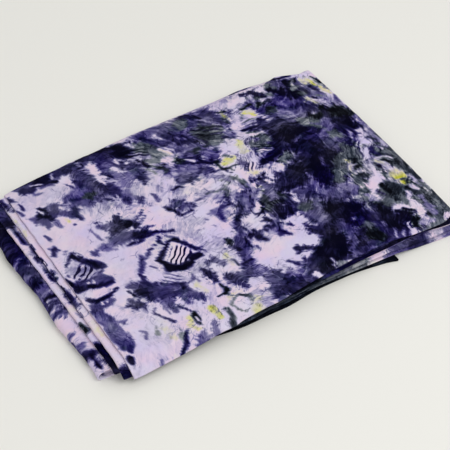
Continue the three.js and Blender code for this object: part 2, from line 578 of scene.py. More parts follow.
@dataclass
class FoldedCloth:
    """The whole cloth as one mesh: rows along its length, columns across its width."""

    pile: Pile
    section: QuarterFold = field(default_factory=QuarterFold)
    top_rows: int = 184
    row_places: Sequence[float] = (-188, -150, -100, -40, 20, 70, 100, 115, 124, 133, 150, 170, 188, 197)
    row_margin: float = 4
    side_step: float = 7
    near_zone: float = 12
    near_ease: float = 22
    right_ease: float = 24
    left_steps: Sequence[float] = (4, 9, 16)
    left_levels: Sequence[int] = (1, 2, 3, 4, 5, 10)
    tight_steps: int = 5
    tall_steps: int = 10
    tall_depth: float = 6.3
    tall_swell: tuple[float, float] = (1.6, 15.9)
    tall_ripple: tuple[float, float] = (0.4, 8.3)
    swell_start: float = -75
    corner_margin: float = 6.5
    top_ply_gap: float = 0.55
    cloth_thickness: float = 0.2
    columns: Columns = field(init=False)

    def __post_init__(self) -> None:
        """Works out the section once."""
        self.columns = self.section.columns()

    def _row_places(self, outline: LegOutline) -> tuple[Array, Array]:
        """The rows of one leg.

        Args:
            outline: the leg.

        Returns:
            How far from the left each row lies, as a share, and which rows are coarse ones.
        """
        left, right = outline.left.x_near, outline.right.x_near
        near_left = [left + step for step in self.left_steps]
        first, last = near_left[-1] + self.row_margin, right - self.row_margin
        places = [x for x in self.row_places if first < x < last]
        coarse = [left, *near_left, *places, right]
        if outline.leg.level == 0:
            rows = left + (right - left) * crowded(self.top_rows, self.section.fine_crowding)
            flags = np.zeros(len(rows), bool)
            flags[[int(np.abs(rows - x).argmin()) for x in coarse]] = True
            return (rows - left) / (right - left), flags
        rows, flags = [], []
        for low, high in zip(coarse, coarse[1:]):
            count = max(1, math.ceil((high - low) / self.side_step))
            rows += list(np.linspace(low, high, count, endpoint=False))
            flags += [True] + [False] * (count - 1)
        return (np.array(rows + [right]) - left) / (right - left), np.array(flags + [True])

    def _leg_rows(self, outline: LegOutline) -> tuple[Rows, Array]:
        """The points of one leg. Its cloth is turned over on every other leg.

        Args:
            outline: the leg.

        Returns:
            Its rows, and its middle surface, which its folds start from.
        """
        section = self.columns
        share, coarse = self._row_places(outline)
        if not outline.runs_right:
            share, coarse = share[::-1], coarse[::-1]
        share = share[:, None]
        near, far = outline.edges(share)
        low, high = outline.ends(section.across[None, :])
        x = between(low, high, share)
        y = between(near, far, section.across[None, :]) + section.bulge[None, :]
        middle = np.stack([x, y, self.pile.height(outline.leg.level, x, y)], -1)
        facing = 1 if outline.runs_right else -1
        points = middle + np.array([0, 0, facing]) * section.place[None, :, None]
        if outline.leg.level == 0:
            upper = (section.zone == Zone.UPPER.value)[None, :]
            inner = smooth_step((y - near) / self.near_ease) * smooth_step((high - x) / self.right_ease)
            points[..., 2] += upper * inner * (self.top_ply_gap + self.pile.ridges(x, y))
        from_left = share[:, 0] * (outline.right.x_near - outline.left.x_near)
        left_end = (from_left < self.left_steps[-1] + 1) & (outline.leg.level in self.left_levels)
        level = np.full(x.shape, float(outline.leg.level))
        return Rows(points, middle[..., :2], level, coarse, left_end), middle

    def _tall_depth(self, y: Array) -> Array:
        """How far the tall fold stands out, with a swell and a finer ripple.

        Args:
            y: the Y of places along it.

        Returns:
            The depth at each place.
        """
        (swell, swell_reach), (ripple, ripple_reach) = self.tall_swell, self.tall_ripple
        wave = swell * np.sin((y - self.swell_start) / swell_reach)
        return self.tall_depth + wave + ripple * np.sin(y / ripple_reach)

    def _fold_rows(self, index: int, before: Array, after: Array) -> Rows:
        """The rows of the fold after a leg, without its two ends, which are rows of the legs.

        Args:
            index: the leg that the fold follows.
            before: the last row of that leg's middle surface.
            after: the first row of the next leg's middle surface.

        Returns:
            The fold's rows.
        """
        place = self.columns.place[None, :, None]
        side = CREASES[index + 1].side
        tall = abs(LEGS[index].level - LEGS[index + 1].level) > 1
        steps = self.tall_steps if tall else self.tight_steps
        angle = np.linspace(math.pi / 2, -math.pi / 2, steps + 1)[1:-1, None]
        rise = ((before[:, 2] - after[:, 2]) / 2)[None, :]
        depth = self._tall_depth(before[None, :, 1]) if tall else np.abs(rise)
        middle = between(before[None], after[None], (1 - np.sin(angle))[..., None] / 2)
        middle[..., 0] += side.value * depth * np.cos(angle)
        outwards = side.value * np.cos(angle) / depth
        normal = np.stack([outwards, np.zeros_like(outwards), np.sin(angle) / rise], -1)
        normal /= np.linalg.norm(normal, axis=-1, keepdims=True)
        facing = side.value * np.sign(rise)[..., None]
        count = len(angle)
        shares = np.linspace(0, 1, count + 2)[1:-1, None]
        level = np.zeros_like(outwards) + between(LEGS[index].level, LEGS[index + 1].level, shares)
        points = middle + normal * facing * place
        return Rows(points, middle[..., :2], level, np.ones(count, bool), np.full(count, side is Side.LEFT))

    def rows(self) -> Rows:
        """The whole length of the cloth.

        Returns:
            Its rows, from the free end on top to the free end inside.
        """
        legs = [self._leg_rows(outline) for outline in self.pile.outlines]
        parts = [legs[0][0]]
        for index, ((_, middle), (rows, following)) in enumerate(zip(legs, legs[1:])):
            parts += [self._fold_rows(index, middle[-1], following[0]), rows]
        names = ("points", "plan", "level", "coarse", "left_end")
        return Rows(*(np.concatenate([getattr(part, name) for part in parts]) for name in names))

    def _splits(self, rows: Rows, top: int, bottom: int, left: int, right: int) -> tuple[bool, bool]:
        """Whether a coarse cell is cut up finer.

        Args:
            rows: the rows of the cloth.
            top: the cell's first row.
            bottom: its last row.
            left: its first column.
            right: its last column.

        Returns:
            Whether it keeps the fine rows, and the fine columns, that cross it.
        """
        section = self.columns
        zone = Zone(section.zone[left])
        on_top = zone is Zone.UPPER and rows.level[[top, bottom], 0].max() < 0.5
        near = section.across[[left, right]].max() * self.section.strip_width <= self.near_zone
        at_left = bool(rows.left_end[top] and rows.left_end[bottom])
        fine_rows = on_top or (near and zone is not Zone.INSIDE)
        return fine_rows, on_top or (at_left and zone is Zone.LOWER)

    def _cells(self, rows: Rows) -> list[tuple[int, int, int, int]]:
        """The cells of the mesh.

        Args:
            rows: the rows of the cloth.

        Returns:
            The first and last row and the first and last column of each cell.
        """
        row_lines = np.flatnonzero(rows.coarse)
        column_lines = np.flatnonzero(self.columns.coarse)
        cells = []
        for top, bottom in zip(row_lines, row_lines[1:]):
            for left, right in zip(column_lines, column_lines[1:]):
                fine_rows, fine_columns = self._splits(rows, top, bottom, left, right)
                row_steps = range(top, bottom + 1) if fine_rows else (top, bottom)
                column_steps = range(left, right + 1) if fine_columns else (left, right)
                cells += [
                    (r0, r1, c0, c1)
                    for r0, r1 in zip(row_steps, row_steps[1:])
                    for c0, c1 in zip(column_steps, column_steps[1:])
                ]
        return cells

    def _faces(self, rows: Rows) -> tuple[Array, list[list[int]]]:
        """The points that the mesh keeps, and its faces, each of which meets its finer neighbours.

        Args:
            rows: the rows of the cloth.

        Returns:
            Which points of the full grid are kept, and the faces as numbers of kept points.
        """
        cells = self._cells(rows)
        kept = np.zeros(rows.level.shape, bool)
        for r0, r1, c0, c1 in cells:
            kept[r0, c0] = kept[r0, c1] = kept[r1, c0] = kept[r1, c1] = True
        number = np.full(kept.shape, -1)
        number[kept] = np.arange(kept.sum())
        faces = []
        for r0, r1, c0, c1 in cells:
            loop = [*number[r0, c0:c1], *number[r0:r1, c1]]
            loop += [*number[r1, c0 + 1:c1 + 1][::-1], *number[r0 + 1:r1 + 1, c0][::-1]]
            faces.append([int(point) for point in loop if point >= 0])
        return kept, faces

    def plan_corner(self) -> Array:
        """The lowest corner of the packet in the plan's own frame, which the model's box fits."""
        outer = min(crease.x_far for crease in CREASES) - self.corner_margin
        return np.array([outer, min(crease.y_near for crease in CREASES), 0])

    def build(self, dye: "DyePattern") -> bpy.types.Object:
        """Makes the mesh, with its UV map in cloth lengths and the dye as point attributes.

        Args:
            dye: the pattern that gives each point its dye.

        Returns:
            The cloth, in the frame of the model, in metres.
        """
        rows = self.rows()
        along = np.linalg.norm(np.diff(rows.points[:, len(self.columns.v) // 4], axis=0), axis=1)
        u = np.concatenate([[0], np.cumsum(along)])
        kept, faces = self._faces(rows)
        u, v = (np.broadcast_to(line, kept.shape)[kept] for line in (u[:, None], self.columns.v[None, :]))
        corner = np.array(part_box(NODE)[0]) - self.plan_corner() * MM
        points = rows.points[kept] * MM + np.array([corner[0], corner[1], 0])

        mesh = bpy.data.meshes.new(PIECE)
        mesh.from_pydata(points.tolist(), [], faces)
        corners = np.empty(len(mesh.loops), dtype=np.int32)
        mesh.loops.foreach_get("vertex_index", corners)
        uv = np.stack([u, v], -1) * MM / CLOTH_LENGTH
        mesh.uv_layers.new(name="cloth").data.foreach_set("uv", uv[corners].ravel().astype(np.float32))
        for name, values in dye.attributes(rows.plan[kept], rows.level[kept], u, v).items():
            colours = mesh.attributes.new(name, "FLOAT_COLOR", "POINT")
            colours.data.foreach_set("color", values.ravel().astype(np.float32))
        mesh.shade_smooth()
        cloth = bpy.data.objects.new(PIECE, mesh)
        bpy.context.collection.objects.link(cloth)
        return self._thicken(cloth)

    def _thicken(self, cloth: bpy.types.Object) -> bpy.types.Object:
        """Gives the sheet the thickness of its cotton.

        Args:
            cloth: the open sheet.

        Returns:
            The same object, with a closed mesh.
        """
        solid = cloth.modifiers.new("thickness", "SOLIDIFY")
        solid.thickness = self.cloth_thickness * MM
        solid.offset = 0
        bpy.context.view_layer.update()
        evaluated = cloth.evaluated_get(bpy.context.evaluated_depsgraph_get())
        thick = bpy.data.meshes.new_from_object(evaluated)
        cloth.modifiers.clear()
        cloth.data = thick
        return cloth


# ---- The dye ----


class Tone(Enum):
    """What one dab of dye leaves: its depth, how green it is and how yellow it is."""

    WHITE = (0.09, 0, 0)
    PALE = (0.20, 0.1, 0)
    FAINT = (0.27, 0.1, 0)
    LILAC = (0.35, 0, 0)
    VIOLET = (0.53, 0, 0)
    INDIGO = (0.65, 0.1, 0)
    NAVY = (0.80, 0.1, 0)
    BLACK = (0.95, 0.2, 0)
    MIST = (0.40, 0.8, 0)
    SLATE = (0.58, 0.85, 0)
    DUSK = (0.76, 0.85, 0)
    MOSS = (0.92, 1.0, 0)
    STRAW = (0.16, 0.1, 0.52)
    LEMON = (0.17, 0.15, 0.72)
    LIME = (0.17, 0.3, 0.9)


WHITE, PALE, FAINT, LILAC, VIOLET, INDIGO, NAVY, BLACK, MIST, SLATE, DUSK, MOSS, STRAW, LEMON, LIME = Tone


@dataclass(frozen=True)
class Dab:
    """One dab: a stroke with its half width at the start and at the end. Most are dye; a few are painted
    shade and highlight.
    """

    x: float
    y: float
    x_to: float
    y_to: float
    width: float
    width_to: float
    tone: Tone
    crisp: bool = False


@dataclass(frozen=True)
class Line(Dab):
    """A dab with a sharp edge and no spikes."""

    crisp: bool = True


@dataclass(frozen=True)
class SideDab:
    """A dab on the sides of the packet, on the levels between two: mostly dye, a few painted shade or
    highlight.
    """

    levels: tuple[float, float]
    dab: Dab


@dataclass(frozen=True)
class Lay:
    """A patch where the streaks lie in one direction, in degrees from X, and how lively they are."""

    x: float
    y: float
    radius: float
    turn: float
    life: float = 1.2


@dataclass(frozen=True)
class Bars:
    """A group of fine dark lines: its middle, half its length and width, its turn and its pitch."""

    x: float
    y: float
    half_length: float
    half_width: float
    turn: float
    pitch: float
    depth: float = 1.0


TOP_DABS = (
    # Broad grounds: half tones in the middle, a dark right field, and a dark far edge.
    Dab(-10, 60, 30, 10, 34, 30, LILAC), Dab(-24, 44, 6, 33, 8, 9, PALE),
    Dab(-186, 119, -146, 118, 12, 12, FAINT), Dab(-60, 112, -20, 92, 22, 22, LILAC),
    Dab(-50, 96, -36, 72, 8, 8, LILAC), Dab(-125, 95, -90, 80, 26, 26, LILAC),
    Dab(24, -14, 60, -30, 20, 22, VIOLET), Dab(60, -40, 66, -66, 14, 12, VIOLET),
    Dab(60, 70, 75, 50, 16, 16, LILAC), Dab(150, -60, 180, -130, 34, 30, SLATE),
    Dab(188, 30, 192, -40, 26, 26, SLATE), Dab(120, 130, 185, 110, 24, 32, INDIGO),
    Dab(110, 142, 138, 134, 8, 9, SLATE), Dab(105, 60, 165, 30, 36, 40, NAVY),
    Dab(175, 66, 196, 52, 16, 12, NAVY), Dab(70, 0, 110, -30, 26, 30, NAVY),
    Dab(140, -10, 165, 0, 18, 16, SLATE), Dab(78, -80, 120, -120, 22, 36, NAVY),
    Dab(30, -130, 70, -120, 16, 22, BLACK), Dab(130, -135, 60, -136, 9, 8, NAVY),
    Dab(188, -100, 194, -135, 14, 12, SLATE), Dab(196, 132, 204, 96, 8, 7, MIST),
    # The violet and lilac dabs here, and the dusk and slate ones at x 199 to 202 further down, make a
    # mid-tone strip along the rounded right end: painted shading of the rounding.
    Dab(203, 90, 206, 20, 5, 4, VIOLET), Dab(202, 40, 203, -10, 2.4, 3, LILAC),
    Dab(-20, 140, 60, 120, 24, 30, INDIGO), Dab(-100, 150, -56, 138, 8, 14, BLACK),
    Dab(-175, 148, -120, 146, 5, 9, NAVY),
    # The far left: a dark rim, a pale field, and a lobed flower under it.
    Dab(-186, 146, -168, 141, 4, 6, INDIGO), Dab(-178, 138, -169, 135, 4.4, 5, NAVY),
    Dab(-152, 147, -150, 140, 9, 7, BLACK), Line(-166, 139, -150, 133, 1.4, 1.8, BLACK),
    Line(-153, 134, -139, 133, 1.2, 3, BLACK), Line(-139, 147, -141, 139, 1.6, 1.4, PALE),
    Line(-171, 126, -161, 125, 1.9, 1.5, VIOLET), Dab(-160, 133, -146, 130, 2.6, 2.4, INDIGO),
    Line(-166, 143, -154, 137, 1.2, 1.2, PALE), Dab(-133, 145, -113, 144, 6, 7, NAVY),
    Dab(-130, 134, -121, 130, 3.6, 3, PALE), Line(-124, 126, -126, 115, 2, 1.4, PALE),
    Line(-133, 125, -129, 111, 1, 1.4, NAVY), Line(-122, 132, -124, 112, 1, 1.4, INDIGO),
    Dab(-113, 140, -111, 128, 5, 6, VIOLET), Dab(-107, 145, -103, 128, 2.4, 2.6, LILAC),
    Line(-110, 137, -104, 137, 1.2, 1.4, NAVY), Dab(-101, 150, -98, 142, 4, 3, NAVY),
    Line(-97, 136, -98, 107, 3, 2.8, WHITE), Line(-93, 141, -79, 134, 1.7, 1.4, PALE),
    Dab(-202, 134, -195, 130, 3.6, 3.4, NAVY), Dab(-199, 112, -195, 104, 2, 2.4, INDIGO),
    Dab(-201, 120, -200, 116, 1.6, 1.6, INDIGO), Line(-191, 120, -191, 112, 1.2, 2, NAVY),
    Dab(-185, 92, -179, 84, 6, 6, INDIGO), Dab(-180, 96, -170, 84, 2.6, 4, BLACK),
    Dab(-173, 104, -170, 90, 1.6, 3, BLACK), Dab(-161, 100, -164, 88, 6, 6, INDIGO),
    Dab(-179, 84, -176, 75, 5, 3.5, INDIGO), Dab(-176, 102, -176, 94, 1.6, 1.2, WHITE),
    Line(-168, 77, -169, 68, 3.4, 3, VIOLET), Dab(-155, 86, -150, 73, 3.8, 4.4, INDIGO),
    Dab(-159, 74, -157, 67, 2.2, 2.4, STRAW), Line(-155, 63, -154, 62, 1.2, 1.2, NAVY),
    Line(-184, 30, -179, 33, 1.4, 1.4, VIOLET), Dab(-143, 88, -144, 65, 3, 3, NAVY),
    Line(-188, 62, -187, 54, 2, 1.8, INDIGO), Dab(-189, 41, -193, 31, 3, 1.5, NAVY),
    # The violet clouds between the flower and the middle.
    Dab(-136, 100, -118, 98, 11, 13, VIOLET), Dab(-134, 94, -124, 84, 8, 8, INDIGO),
    Dab(-112, 126, -107, 92, 9, 10, INDIGO), Dab(-116, 110, -122, 112, 4, 4, INDIGO),
    Dab(-121, 122, -121, 112, 1.6, 3, NAVY), Dab(-138, 97, -129, 93, 2, 2.6, NAVY),
    Dab(-124, 93, -114, 94, 4, 4, DUSK), Dab(-103, 108, -99, 88, 3, 4, NAVY),
    Dab(-147, 100, -140, 108, 2, 2.4, INDIGO), Dab(-96, 96, -90, 78, 4, 6, NAVY),
    Dab(-90, 78, -89, 62, 5, 4, NAVY), Dab(-93, 78, -95, 72, 1.3, 1.3, PALE),
    Dab(-80, 96, -76, 84, 4, 4, VIOLET), Dab(-83, 76, -80, 62, 4, 3, VIOLET),
    Dab(-117, 82, -115, 77, 2.2, 2.2, NAVY), Dab(-107, 79, -102, 74, 2.2, 2.2, NAVY),
    Dab(-103, 65, -103, 62, 2.5, 2.5, VIOLET),
    # The far middle: blue petals, pale notches and slate streaks.
    Dab(-88, 140, -73, 120, 5, 6, NAVY), Dab(-98, 148, -70, 142, 6, 8, NAVY),
    Dab(-88, 128, -83, 108, 4.5, 6, NAVY), Dab(-82, 126, -78, 104, 4, 4, INDIGO),
    Dab(-74, 128, -62, 118, 3, 3, NAVY), Dab(-78, 112, -76, 104, 5, 5, VIOLET),
    Dab(-99, 126, -97, 100, 1.8, 1.8, WHITE), Line(-79, 118, -63, 103, 1.4, 4.4, PALE),
    Line(-61, 117, -54, 112, 3.2, 4, PALE), Line(-69, 127, -71, 119, 2.4, 1.4, PALE),
    Dab(-70, 118, -60, 109, 2.5, 3, NAVY), Dab(-57, 106, -57, 90, 7.5, 7, INDIGO),
    Dab(-60, 86, -55, 84, 4, 3, NAVY), Dab(-61, 80, -58, 74, 1.4, 1, NAVY),
    Dab(-70, 103, -68, 94, 4, 4, VIOLET), Line(-48, 143, -33, 130, 2.4, 3.4, PALE),
    Line(-40, 149, -30, 138, 1.4, 1.4, LILAC), Line(-40, 141, -38, 137, 2, 2, PALE),
    Line(-48, 113, -40, 99, 1.3, 1.3, BLACK), Line(-43, 131, -32, 126, 1.4, 1.6, BLACK),
    Line(-52, 125, -36, 117, 2, 1.2, BLACK), Dab(-44, 104, -34, 94, 1.4, 1.2, SLATE),
    Dab(-34, 128, -20, 108, 8, 7, SLATE), Dab(-30, 130, -22, 120, 2.4, 2, DUSK),
    Dab(-26, 112, -14, 102, 2.4, 2, MIST), Dab(-40, 110, -28, 100, 4, 4, SLATE),
    Line(-49, 114, -41, 98, 1.8, 1.8, BLACK), Dab(-16, 141, -12, 133, 4, 4, LILAC),
    Dab(-26, 143, -9, 120, 3.6, 4.4, NAVY), Line(-18, 116, -12, 104, 1.8, 2.6, STRAW),
    Line(-25, 97, -17, 91, 3, 3.4, WHITE), Dab(-9, 103, -3, 112, 1.6, 1.6, VIOLET),
    Dab(-2, 101, 6, 113, 3, 3, VIOLET), Dab(-19, 88, -19, 79, 2.4, 2.4, PALE),
    Dab(-26, 84, -28, 74, 2, 2, VIOLET), Dab(-12, 92, -8, 84, 3.4, 3.4, DUSK),
    Dab(-14, 80, -8, 75, 4, 4, INDIGO), Dab(-43, 88, -44, 70, 3.4, 4.4, PALE),
    Dab(-52, 72, -50, 58, 1.4, 1.4, LILAC), Dab(-45, 96, -42, 84, 2.4, 1.6, MIST),
    Dab(-34, 92, -28, 84, 3.4, 2.4, DUSK), Dab(-35, 72, -34, 62, 4, 5, PALE),
    Dab(2, 130, 16, 108, 8, 8, NAVY), Dab(20, 138, 34, 122, 2, 2, VIOLET),
    Dab(8, 122, 14, 116, 2, 2, VIOLET), Dab(10, 99, 28, 82, 11, 12, INDIGO),
    Dab(14, 92, 28, 80, 5, 6, DUSK), Dab(4, 106, 12, 98, 3, 4, VIOLET),
    Line(-7, 84, 10, 74, 2.8, 3.2, BLACK), Line(-3, 90, 10, 80, 2, 2.4, NAVY),
    Line(-2, 85, 4, 81, 2, 2.2, WHITE), Dab(-24, 64, 14, 61, 7, 8, INDIGO),
    Dab(-26, 57, -8, 56, 3, 3, NAVY), Dab(0, 64, 16, 58, 5, 6, NAVY),
    Dab(-28, 58, -14, 56, 2, 2, NAVY), Dab(-14, 72, 2, 68, 6, 6, VIOLET),
    Line(9, 76, 28, 65, 2.6, 3, BLACK), Line(17, 64, 20, 57, 2, 2.4, PALE),
    Line(29, 72, 23, 54, 1.8, 1.8, MOSS), Line(-75, 58, -77, 54, 3.6, 3.6, INDIGO),
    Line(-61, 57, -61, 47, 3, 2.8, INDIGO), Line(-71, 47, -71, 43, 1.5, 1.3, VIOLET),
    Line(-40, 51, -32, 53, 1.4, 1.6, NAVY),
    # A burst of navy left of the middle.
    Dab(-135, 47, -118, 36, 3, 5, INDIGO), Dab(-113, 48, -110, 32, 4, 4, NAVY),
    Dab(-127, 27, -107, 33, 3, 5, NAVY), Dab(-130, 17, -116, 18, 8, 9, INDIGO),
    Dab(-104, 36, -100, 25, 4, 4, BLACK), Dab(-100, 31, -81, 42, 2, 1.5, NAVY),
    Dab(-98, 24, -86, 32, 2, 1.5, NAVY), Dab(-118, 3, -86, 7, 2.5, 2, BLACK),
    Dab(-106, 15, -96, 10, 5, 6, BLACK), Dab(-94, 17, -82, 16, 2, 1.5, NAVY),
    Line(-86, 4, -71, -1, 2.2, 2.8, NAVY), Line(-89, -2, -91, -8, 1.5, 1.8, NAVY),
    Line(-82, -4, -77, -11, 1.8, 2, VIOLET), Line(-143, 46, -141, 26, 1.3, 2, VIOLET),
    Line(-136, 52.5, -130, 52, 1, 1, NAVY), Line(-126, 53, -119, 51, 0.9, 0.9, NAVY),
    Dab(-157, 12, -152, 15, 3, 3, INDIGO), Dab(-146, 18, -140, 12, 4, 4, VIOLET),
    Dab(-150, 12, -150, 12, 2.4, 2.4, WHITE),
    # A leaf with bars at the left end, and dark petals under it.
    Dab(-193, -3, -190, 14, 1.5, 1.5, NAVY), Dab(-190, 14, -178, 27, 1.5, 2, NAVY),
    Dab(-180, 24, -172, 10, 1.6, 3.4, BLACK), Line(-188, 4, -172, -8, 7, 8, LILAC),
    Line(-171, 12, -163, -3, 3.6, 5.4, NAVY), Line(-163, -3, -156, -9, 5, 3, NAVY),
    Line(-168, 6, -162, -6, 2, 2.6, BLACK), Line(-193, -14, -176, -17, 1.2, 1.2, NAVY),
    Line(-176, -17, -160, -11, 1.5, 2, NAVY), Line(-165, -18, -160, -25, 4.4, 4, INDIGO),
    Line(-199, -5, -196, -24, 1.8, 3.2, BLACK), Line(-194, -21, -166, -22, 6, 6, INDIGO),
    Line(-196, -22, -181, -26, 5, 3, NAVY), Line(-181, -26, -161, -32, 3, 3.6, BLACK),
    Line(-181, -21, -181, -22, 1.8, 1.8, WHITE), Line(-175, -21, -175, -23, 1.8, 1.6, WHITE),
    Line(-168, -32, -161, -33, 2, 1.8, NAVY), Line(-187, -37, -176, -38, 4.4, 5.6, WHITE),
    Line(-193, -42, -186, -47, 3.2, 3.6, NAVY), Line(-186, -47, -172, -46, 3.4, 2.8, BLACK),
    Line(-172, -47, -161, -43, 3, 2.2, BLACK), Line(-193, -52, -172, -55, 5.2, 4.6, INDIGO),
    Line(-182, -51, -182, -53, 1.8, 1.6, WHITE), Line(-176, -51, -176, -53, 1.6, 1.6, WHITE),
    Line(-192, -58, -189, -112, 7, 9.5, INDIGO), Line(-186, -88, -184, -104, 5, 4, INDIGO),
    Dab(-194, -66, -193, -84, 3, 3, VIOLET), Dab(-184, -92, -184, -104, 3, 3, VIOLET),
    Line(-193, -129, -193, -131, 4, 3.4, BLACK), Line(-187, -117, -188, -121, 2.6, 3, NAVY),
    Dab(-178, -82, -175, -88, 2.5, 2, VIOLET),
    # Small curls and straw-coloured spots on the pale near left.
    Line(-169, -103, -165, -106, 1.2, 2.2, VIOLET), Line(-164, -107, -167, -115, 2.4, 1.6, VIOLET),
    Line(-151, -109, -155, -117, 1.5, 2.8, MIST), Line(-166, -142, -166, -150, 1.6, 2.5, VIOLET),
    Line(-145, -92, -135, -109, 1.2, 2.4, NAVY), Line(-138, -84, -146, -93, 0.9, 1.2, INDIGO),
    Dab(-137, -130, -136, -132, 4, 4, MIST), Line(-149, -149, -136, -138, 1.2, 2.6, NAVY),
    Line(-136, -138, -127, -127, 2.6, 0.9, NAVY), Dab(-146, -102, -143, -128, 5, 4.4, STRAW),
    Dab(-119, -114, -119, -130, 4, 3.6, LEMON), Line(-119, -121, -119, -128, 2, 2, LIME),
    Line(-112, -113, -112, -118, 3.2, 4.4, MOSS), Line(-115, -119, -112, -127, 1, 1, MOSS),
    Line(-109, -119, -112, -127, 1, 1, MOSS), Line(-112, -119.5, -112, -122, 2.2, 1.4, WHITE),
    Line(-91, -114, -92, -131, 5, 4.4, LIME), Dab(-127, -149, -118, -138, 3, 2, INDIGO),
    Dab(-117, -148, -116, -136, 3, 1.5, VIOLET), Dab(-103, -146, -101, -131, 4, 2, VIOLET),
    # The navy cloud on the near left, with rings and petals round it.
    Dab(-138, -58, -122, -73, 11, 12, NAVY), Dab(-132, -58, -128, -66, 4, 4, NAVY),
    Dab(-132, -72, -112, -82, 6, 5, NAVY), Dab(-118, -60, -100, -76, 3, 4, INDIGO),
    Dab(-148, -46, -140, -48, 4, 2.6, INDIGO), Line(-151, -51, -151, -59, 1.4, 1.7, BLACK),
    Dab(-165, -70, -150, -75, 1.5, 3, NAVY), Dab(-158, -62, -152, -74, 3, 4, INDIGO),
    Dab(-174, -62, -168, -72, 2.4, 2, LILAC), Dab(-184, -80, -172, -84, 2, 2, VIOLET),
    Line(-131, -36, -132, -54, 1.6, 4, NAVY), Line(-119, -15, -121, -26, 2, 4.4, INDIGO),
    Line(-121, -26, -127, -35, 4.4, 3.6, INDIGO), Line(-117, -24, -108, -17, 1.6, 2.8, INDIGO),
    Line(-108, -15, -96, -8, 1.3, 1.4, NAVY), Line(-116, -33, -112, -42, 0.8, 0.8, INDIGO),
    Line(-92, -7, -86, -16, 1.6, 1.4, NAVY), Line(-125, -84, -124, -98, 5, 4, INDIGO),
    Line(-132, -78, -131, -100, 2.2, 1.6, VIOLET), Dab(-110, -84, -108, -98, 3, 2.5, INDIGO),
    Line(-114, -86, -114, -96, 2.4, 1.8, PALE), Dab(-102, -84, -94, -95, 6, 6, INDIGO),
    Dab(-117, -78, -100, -78, 3, 3, NAVY), Dab(-118, -95, -114, -108, 2, 1.5, NAVY),
    Dab(-108, -52, -99, -62, 4, 3.4, PALE), Dab(-118, -59, -102, -72, 1.6, 2.4, NAVY),
    Dab(-86, -72, -83, -79, 3.5, 2.5, VIOLET),
    # The barred motif.
    Dab(-92, -36, -77, -33, 12, 11, WHITE), Line(-104, -32, -100, -46, 3, 5.2, BLACK),
    Line(-100, -46, -88, -54, 5, 4.4, BLACK), Line(-105, -31, -84, -14, 2.2, 2, BLACK),
    Line(-80, -14, -74, -15, 2.2, 2.4, BLACK), Line(-75, -15, -62, -37, 2.4, 2.8, BLACK),
    Line(-69, -22, -66, -30, 2.6, 2.4, NAVY), Line(-88, -53, -76, -50, 4, 3.4, BLACK),
    Line(-72, -44, -66, -46, 5.4, 4.4, BLACK), Line(-61, -38, -57, -44, 1.8, 1.4, NAVY),
    Line(-60, -38, -55, -35, 1.2, 0.9, NAVY),
    # Combs and a funnel in the middle.
    Dab(-58, 32, -51, 12, 2.4, 2.2, BLACK), Dab(-60, 26, -42, 31, 2, 2.4, BLACK),
    Dab(-52, 30, -42, 28, 4, 4, INDIGO), Line(-51, 13, -29, 19, 2, 1.6, NAVY),
    Line(-50, 22, -22, 23, 2.4, 1.6, INDIGO), Dab(-50, 37, -37, 33, 2.6, 2.2, INDIGO),
    Dab(-38, 27, -30, 22, 2, 2, NAVY), Dab(-33, 23, -20, 23, 1.6, 1.6, INDIGO),
    Line(-27, 2, 6, 1, 1.2, 1.6, NAVY), Line(-31, -1, -33, -12, 1, 1, VIOLET),
    Line(-33, -12, -27, -21, 1, 1, VIOLET), Line(-27, -21, -19, -22, 1, 1, VIOLET),
    Line(-25, 0, -6, 1, 2.6, 3.6, VIOLET), Line(-16, -3, -15, -16, 6.5, 2.2, VIOLET),
    Line(-27, -7, -27, -13, 3.2, 3.2, PALE), Line(-3, -6, -6, -20, 3, 3.6, WHITE),
    Dab(-12, 28, 14, 23, 1.4, 2, SLATE), Dab(-14, 46, 18, 44, 1, 1, LILAC),
    Dab(-12, 36, -2, 42, 1, 1, LILAC), Line(3, 5, 9, 16, 2, 2.6, NAVY),
    Dab(8, 14, 24, 36, 2.4, 3.4, SLATE), Dab(14, 38, 24, 30, 1.4, 1.4, SLATE),
    Dab(-6, 10, 5, 14, 1.4, 1.4, NAVY), Dab(-28, -42, -28, -49, 3, 3, MOSS),
    Dab(-36, -53, -36, -57, 2.2, 2.2, VIOLET),
    # The rope of violet and navy that runs down to the near edge.
    Dab(18, 2, 2, -18, 5, 4, INDIGO), Line(4, -16, -8, -30, 4, 4.6, INDIGO),
    Line(3, -18, -7, -30, 1.6, 2.4, NAVY), Line(-18, -32, -8, -32, 0.9, 1.4, NAVY),
    Dab(34, 2, 18, -16, 2, 2, NAVY), Dab(18, -16, 6, -24, 2, 1.6, NAVY),
    Line(12, -6, -2, -26, 1.6, 1.8, BLACK), Line(16, 3, 9, -9, 2, 2, NAVY),
    Line(33, 10, 21, -10, 1.6, 2, NAVY), Line(-7, -30, -13, -46, 4, 4, INDIGO),
    Dab(-20, -34, -12, -32, 1.4, 1.4, INDIGO), Dab(-12, -46, -22, -68, 4, 8, INDIGO),
    Dab(-20, -48, -26, -60, 2.4, 3.4, INDIGO), Line(-10, -50, -13, -63, 1.4, 2.4, BLACK),
    Dab(-4, -38, -2, -50, 1.4, 1.2, NAVY), Line(-25, -60, -26, -63, 2.2, 2.2, BLACK),
    Dab(-7, -66, -8, -73, 2.6, 2, NAVY), Dab(-24, -72, -30, -92, 6, 7, INDIGO),
    Line(-35, -78, -20, -79, 1.2, 1.6, BLACK), Dab(-48, -52, -36, -66, 5, 5, PALE),
    Dab(-42, -60, -38, -76, 5, 5, STRAW), Dab(-88, -80, -86, -94, 4, 4, STRAW),
    Dab(-40, -68, -38, -80, 1.4, 1.4, DUSK), Dab(-30, -74, -34, -86, 1.6, 1.6, NAVY),
    Dab(-26, -90, -10, -122, 6, 8, INDIGO), Dab(-42, -106, -31, -114, 4, 4.6, PALE),
    Dab(-24, -94, -14, -112, 3, 3, VIOLET), Dab(-15, -114, 4, -134, 9, 9, INDIGO),
